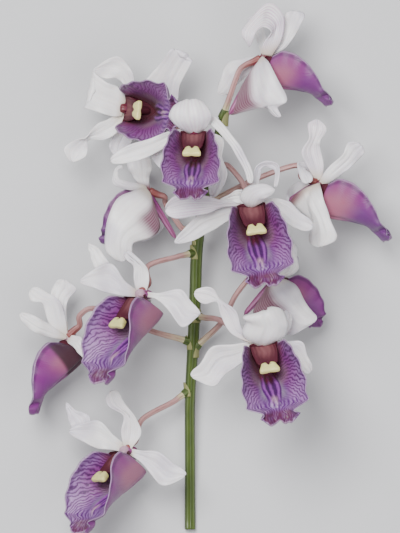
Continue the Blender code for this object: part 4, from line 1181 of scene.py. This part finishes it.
def tint_walls(made, look, out, veins):
    """The violet walls of a lip: pale beside the keels, magenta half way up, with light and dark veins."""
    beside = made.times(made.falling(out, 0.2, 0.42), made.falling(made.along, 0.6, 0.8))
    tone = made.tint(beside, look.violet, look.pale)
    tone = made.tint(made.times(made.band(out, 0.3, 0.5, 0.75, 1.0), 0.85), tone, look.magenta)
    lower = made.times(made.rising(made.scaled(out, 0.25, made.along), 0.5, 0.85), made.rising(out, 0.25, 0.5))
    light = made.calc("MAXIMUM", made.times(lower, 0.5), made.times(made.rising(out, 0.75, 1.0), 0.4))
    light = made.calc("ADD", light, made.times(veins["Line"], 0.14), clamp=True)
    tone = made.tint(light, tone, look.vein)
    trough = made.calc("POWER", made.less(1.0, veins["Swell"]), 2.8)
    return made.tint(made.times(trough, made.times(made.rising(out, 0.3, 0.5), 0.85)), tone, look.dark)


def tint_keels(made, look, tone, out):
    """The dark ridges with violet between them, cream where they end."""
    drawn = made.less(1.0, made.times(made.rising(made.along, *KEELS_MEET), KEELS_CLOSE))
    away = made.calc("DIVIDE", out, drawn)
    middle = made.calc("DIVIDE", made.less(made.across, 0.5), drawn)
    middle = made.plus(middle, 0.25 / KEEL_STRIPES)
    keels = made.veins(middle, KEEL_STRIPES, width=0.35, wander=0.3, grain=200.0)
    ridge = made.tint(keels["Line"], look.bar, look.keel)
    at_end = made.times(made.rising(made.along, 0.62, 0.76), made.falling(away, 0.08, 0.2))
    ridge = made.tint(at_end, ridge, look.cream)
    zone = made.times(made.falling(away, 0.25, 0.31), made.falling(made.along, 0.74, 0.86))
    return made.tint(zone, tone, ridge)


def tint_lobe_and_throat(made, look, tone, out, specks):
    """The fan of dark lines beyond the keels, the maroon throat with its tan end, and the brown end lobe."""
    fan = made.veins(made.across, 17.0, width=0.9, wander=1.2, grain=300.0)
    fanned = made.times(made.rising(made.along, 0.68, 0.8), made.falling(out, 0.5, 0.8))
    tone = made.tint(made.times(fanned, 0.3), tone, look.vein)
    tone = made.tint(made.times(fanned, fan["Line"]), tone, look.bar)
    inner = made.scaled(out, 0.22, made.along)
    ending = made.times(made.band(inner, 0.26, 0.4, 0.46, 0.62), made.band(out, 0.2, 0.35, 0.5, 0.75))
    tone = made.tint(made.times(ending, 0.5), tone, look.tan)
    throat = made.times(made.falling(inner, 0.22, 0.44), made.scaled(specks, -0.2, 0.95))
    tone = made.tint(throat, tone, look.maroon)
    brown = made.times(made.rising(made.along, LOBE_TO - 0.03, LOBE_TO + 0.04), made.falling(out, 0.6, 0.95))
    speckled = made.times(brown, made.scaled(specks, -0.35, 0.95))
    return made.tint(speckled, tone, made.tint(0.5, look.maroon, look.dark))


def lip_outside_finish(look):
    """Salmon at the root, magenta along the top margin, violet towards the end and paler below, with fine veins;
    some lips have a dark maroon root deepened with painted shade.
    """
    made = Finish("lip_outside", roughness=0.42, sheen=0.08)
    out = made.from_middle()
    patches = made.mottle(patch=150.0, grain=1300.0)
    lean = made.scaled(out, -VEIN_LEAN, made.along)
    veins = made.veins(lean, 2.6 * look.vein_count, width=0.7, wander=2.4, grain=260.0)
    tone = made.tint(made.falling(made.along, 0.3, 0.62), look.outer, look.salmon)
    below = made.times(made.falling(out, 0.2, 0.5), made.rising(made.along, 0.15, 0.4))
    tone = made.tint(made.times(below, 0.25), tone, look.pale)
    top = made.times(made.rising(out, 0.62, 0.95), made.falling(made.along, 0.55, 0.8))
    tone = made.tint(made.times(top, 0.75), tone, look.magenta)
    tone = made.tint(made.times(patches["Patches"], 0.12), tone, look.pale)
    tone = made.tint(made.times(veins["Line"], 0.25), tone, look.violet)
    centre = made.times(made.band(out, 0.2, 0.45, 0.65, 0.85), made.falling(made.along, 0.3, 0.55))
    deeper = made.times(made.layer("vein_strength"), made.scaled(centre, -0.7, 1.0))
    tone = made.tint(deeper, tone, look.magenta)
    # A root painted near black: dark maroon deepened with painted shade, where the blush layer marks it.
    tone = made.tint(made.times(made.layer("blush"), 0.9), tone, look.shaded_root)
    return finish_lip(made, look, tone, out, veins["Swell"], patches["Grain"], LIP_OUTSIDE_RELIEF)


def finish_lip(made, look, tone, out, swell, grain, depth):
    """The dark line beside a lip's thin pale margin, and the lip's relief."""
    tone = made.tint(made.times(made.rising(out, 0.9, 0.94), 0.55), tone, look.dark)
    margin = made.calc("MAXIMUM", made.rising(out, 0.972, 0.988), made.rising(made.along, 0.982, 0.994))
    tone = made.tint(made.times(margin, 0.45), tone, look.edge)
    return made.paint(tone, made.plus(swell, made.times(grain, 0.2)), depth)


def spur_finish(look):
    """Maroon or pale at the heart, magenta behind it, and dull rose with maroon stripes towards the tip."""
    made = Finish("striped_spur", roughness=0.45, soft=0.08)
    lines = made.veins(made.across, 7.0, width=0.8, wander=0.9, grain=120.0)
    at_heart = made.times(made.falling(made.along, 0.35, 0.8), 0.85)
    tone = made.tint(at_heart, made.tint(0.4, look.salmon, look.keel), look.magenta)
    tone = made.tint(made.times(lines["Line"], 0.6), tone, look.maroon)
    pale_heart = made.layer("root_tint")
    heart = made.falling(made.along, 0.3, 0.5)
    tone = made.tint(made.times(heart, made.less(1.0, pale_heart)), tone, look.maroon)
    tone = made.tint(made.times(heart, pale_heart), tone, look.cream)
    return made.paint(tone, lines["Swell"], PEDICEL_RELIEF)


def column_finish(look):
    """Brown maroon with soft pale streaks along it and a pale middle band, partly its own colour and partly a painted
    highlight, all fading towards its tip; the throat's wall is plain.
    """
    made = Finish("maroon_column", roughness=0.7, soft=0.03)
    made.shader.inputs["Specular IOR Level"].default_value = 0.25
    veins = made.veins(made.across, 15.0, width=0.9, wander=1.2, grain=260.0)
    # A pale band down the middle of the column's top: partly its own paler colour, partly a painted highlight.
    middle = made.falling(made.calc("ABSOLUTE", made.less(made.across, 0.5)), 0.02, 0.16)
    streaks = made.plus(made.times(veins["Line"], 0.22), made.times(middle, 0.6))
    streaks = made.times(streaks, made.less(1.0, made.layer("blush")), made.falling(made.along, 0.25, 0.85))
    tone = made.tint(streaks, look.maroon, look.streak_and_highlight)
    return made.paint(tone, veins["Swell"], COLUMN_RELIEF)


def cap_finish(look):
    """Pale yellow wax, deeper in soft uneven patches."""
    made = Finish("yellow_anther_cap", roughness=0.4, soft=0.15)
    patches = made.mottle(patch=420.0, grain=1800.0)
    tone = made.tint(made.times(patches["Patches"], 0.3), look.cap, look.cap_shade)
    return made.paint(tone, patches["Grain"], COLUMN_RELIEF)


def pedicel_finish(look):
    """Pale yellow-green by the stem, pink in the middle and red-brown by the bloom, with fine ribs."""
    made = Finish("pink_pedicel", roughness=0.45, soft=0.08)
    patches = made.mottle(patch=300.0, grain=1500.0)
    ribs = made.veins(made.across, 6.0, width=0.5, wander=0.3, grain=120.0)
    tone = made.tint(made.rising(made.along, 0.02, 0.3), look.pedicel_foot, look.pedicel)
    tone = made.tint(made.rising(made.along, 0.45, 0.92), tone, look.ovary)
    tone = made.tint(made.times(ribs["Line"], made.times(patches["Patches"], 0.6)), tone, look.ovary)
    return made.paint(tone, ribs["Swell"], PEDICEL_RELIEF)


def stem_finish(look):
    """Moss green with darker streaks along it."""
    made = Finish("green_stem", roughness=0.42, soft=0.05)
    ribs = made.veins(made.across, 7.0, width=0.6, wander=0.5, grain=60.0)
    patches = made.mottle(patch=120.0, grain=1400.0)
    streaks = made.plus(made.times(ribs["Line"], 0.45), made.times(patches["Patches"], 0.35))
    return made.paint(made.tint(streaks, look.green, look.dark_green), ribs["Swell"], STEM_RELIEF)


def bract_finish(look):
    """Papery brown-green scale with fine lines."""
    made = Finish("papery_bract", roughness=0.6)
    lines = made.veins(made.across, 8.0, width=0.5, wander=0.3, grain=90.0)
    tone = made.tint(made.times(lines["Line"], 0.3), look.bract, look.dark_green)
    return made.paint(tone, lines["Swell"], BRACT_RELIEF)


def floor_finish(look):
    """Plain pale matt floor."""
    made = Finish("pale_floor", roughness=0.85)
    patches = made.mottle(patch=3.0, grain=40.0)
    brighter = [min(1.0, c * 1.04) for c in look.floor]
    made.tree.links.new(made.tint(patches["Patches"], look.floor, brighter), made.shader.inputs["Base Color"])
    return made.material


class DENDROBIUM_OT_stem(bpy.types.Operator):
    """Builds the stem with its bosses and bracts"""

    bl_idname = "dendrobium.stem"
    bl_label = "Stem"

    def execute(self, context):
        look = context.scene.dendrobium_stalks
        points = [place(x, y, z) for x, y, z, _ in STEM_LINE]
        radii = [radius for *_, radius in STEM_LINE]
        bm = new_sheet()
        add_stalk(bm, along(points, STEM_STEPS), along(radii, STEM_STEPS), STEM_SIDES)
        for bloom in BLOOMS.values():
            add_boss(bm, bloom)
        flatten_at_table(bm)
        finish_piece("stem_rod", bm, [stem_finish(look)], "stem")
        bm = new_sheet()
        for bloom in BLOOMS.values():
            add_bract(bm, bloom)
        obj = finish_piece("stem_bracts", bm, [bract_finish(look)], "stem")
        give_thickness(obj, BRACT_THICKNESS, BRACT_MARGIN_SHARE)
        return {"FINISHED"}


class DENDROBIUM_OT_pedicels(bpy.types.Operator):
    """Builds the pedicel of every bloom, from its boss on the stem to the heart"""

    bl_idname = "dendrobium.pedicels"
    bl_label = "Pedicels"

    def execute(self, context):
        finish_each_bloom(add_pedicel, "_stalk", [pedicel_finish(context.scene.dendrobium_stalks)], "pedicel")
        return {"FINISHED"}


class DENDROBIUM_OT_tepals(bpy.types.Operator):
    """Builds the petals and sepals of every bloom"""

    bl_idname = "dendrobium.tepals"
    bl_label = "Tepals"

    def execute(self, context):
        look = context.scene.dendrobium_tepals
        build = partial(add_tepals, look=look)
        for obj in finish_each_bloom(build, "_blades", [tepal_finish(look)], "tepals"):
            give_thickness(obj, look.thickness, look.margin_share)
        return {"FINISHED"}


class DENDROBIUM_OT_spurs(bpy.types.Operator):
    """Builds the heart and the spur behind every bloom"""

    bl_idname = "dendrobium.spurs"
    bl_label = "Hearts and spurs"

    def execute(self, context):
        finish_each_bloom(add_spur, "_spur", [spur_finish(context.scene.dendrobium_lips)], "tepals")
        return {"FINISHED"}


class DENDROBIUM_OT_lips(bpy.types.Operator):
    """Builds the veined lip of every bloom"""

    bl_idname = "dendrobium.lips"
    bl_label = "Lips"

    def execute(self, context):
        look = context.scene.dendrobium_lips
        finishes = [lip_outside_finish(look), lip_inside_finish(look)]
        for obj in finish_each_bloom(partial(add_lip, look=look), "_lip_blade", finishes, "lip"):
            give_thickness(obj, look.thickness, LIP_MARGIN_SHARE, other_side=1)
        return {"FINISHED"}


class DENDROBIUM_OT_columns(bpy.types.Operator):
    """Builds the column of every bloom, with its foot and the throat's wall"""

    bl_idname = "dendrobium.columns"
    bl_label = "Columns"

    def execute(self, context):
        finish_each_bloom(add_column, "_column_body", [column_finish(context.scene.dendrobium_columns)], "column")
        return {"FINISHED"}


class DENDROBIUM_OT_caps(bpy.types.Operator):
    """Builds the anther cap of every bloom"""

    bl_idname = "dendrobium.caps"
    bl_label = "Anther caps"

    def execute(self, context):
        finish_each_bloom(add_cap, "_cap", [cap_finish(context.scene.dendrobium_columns)], "anther_cap")
        return {"FINISHED"}


class DENDROBIUM_OT_stage(bpy.types.Operator):
    """Sets up the floor, the lights and the camera"""

    bl_idname = "dendrobium.stage"
    bl_label = "Stage"

    def execute(self, context):
        look = context.scene.dendrobium_stage
        add_floor(context, look)
        light_sky(context)
        add_light(context, "key", look.key_power, KEY_PLACE, KEY_WIDTH)
        add_light(context, "fill", look.fill_power, FILL_PLACE, FILL_WIDTH)
        add_camera(context, look.camera_height)
        return {"FINISHED"}


def add_floor(context, look):
    """A wide flat floor under the spray, which isn't part of it."""
    bm = bmesh.new()
    bm.loops.layers.uv.new("UVMap")
    bmesh.ops.create_grid(bm, x_segments=4, y_segments=4, size=FLOOR_HALF_WIDTH, calc_uvs=True)
    mesh = bpy.data.meshes.new("floor")
    bm.to_mesh(mesh)
    bm.free()
    mesh.materials.append(floor_finish(look))
    floor = bpy.data.objects.new("floor", mesh)
    context.scene.collection.objects.link(floor)


def light_sky(context):
    """Faint even light from all sides."""
    world = context.scene.world or bpy.data.worlds.new("studio")
    context.scene.world = world
    world.use_nodes = True
    sky = world.node_tree.nodes["Background"]
    sky.inputs[0].default_value = SKY_COLOUR
    sky.inputs[1].default_value = SKY_STRENGTH


def add_light(context, name, power, spot, width):
    """A soft lamp that faces the spray."""
    lamp = bpy.data.lights.new(name, "AREA")
    lamp.energy = power
    lamp.size = width
    holder = bpy.data.objects.new(name, lamp)
    holder.location = spot
    holder.rotation_euler = (-Vector(spot)).to_track_quat("-Z", "Y").to_euler()
    holder.visible_camera = False
    context.scene.collection.objects.link(holder)


def add_camera(context, height):
    """A long lens high above the plan's middle, which frames the plan at the blooms' height."""
    camera = bpy.data.cameras.new("camera")
    camera.sensor_width = SENSOR_WIDTH
    seen = PLAN_HEIGHT * PLAN_STEP * MM
    camera.lens = camera.sensor_width * (height - VIEW_LEVEL * MM) / seen
    camera.clip_end = height * 3
    holder = bpy.data.objects.new("camera", camera)
    holder.location = (PLAN_SHIFT.x * MM, PLAN_SHIFT.y * MM, height)
    context.scene.collection.objects.link(holder)
    context.scene.camera = holder


class DENDROBIUM_PT_spray(bpy.types.Panel):
    """Lists the pieces of the spray"""

    bl_label = "Dendrobium spray"
    bl_idname = "DENDROBIUM_PT_spray"
    bl_space_type = "VIEW_3D"
    bl_region_type = "UI"
    bl_category = "Spray"

    def draw(self, context):
        for operator in OPERATORS:
            self.layout.operator(operator.bl_idname)
        for name, settings in SETTINGS.items():
            box = self.layout.box()
            box.label(text=settings.__doc__)
            for key in settings.__annotations__:
                box.prop(getattr(context.scene, name), key)


SETTINGS = {
    "dendrobium_tepals": DendrobiumTepalLook,
    "dendrobium_lips": DendrobiumLipLook,
    "dendrobium_columns": DendrobiumColumnLook,
    "dendrobium_stalks": DendrobiumStalkLook,
    "dendrobium_stage": DendrobiumStageLook,
}
OPERATORS = (
    DENDROBIUM_OT_stem,
    DENDROBIUM_OT_pedicels,
    DENDROBIUM_OT_tepals,
    DENDROBIUM_OT_spurs,
    DENDROBIUM_OT_lips,
    DENDROBIUM_OT_columns,
    DENDROBIUM_OT_caps,
    DENDROBIUM_OT_stage,
)


def register():
    for kind in (*SETTINGS.values(), *OPERATORS, DENDROBIUM_PT_spray):
        bpy.utils.register_class(kind)
    for name, settings in SETTINGS.items():
        setattr(bpy.types.Scene, name, bpy.props.PointerProperty(type=settings))


def unregister():
    for name in SETTINGS:
        delattr(bpy.types.Scene, name)
    for kind in (DENDROBIUM_PT_spray, *OPERATORS, *SETTINGS.values()):
        bpy.utils.unregister_class(kind)


def main():
    register()
    bpy.ops.dendrobium.stem()
    bpy.ops.dendrobium.pedicels()
    bpy.ops.dendrobium.tepals()
    bpy.ops.dendrobium.spurs()
    bpy.ops.dendrobium.lips()
    bpy.ops.dendrobium.columns()
    bpy.ops.dendrobium.caps()
    bpy.ops.dendrobium.stage()


if __name__ == "__main__":
    main()
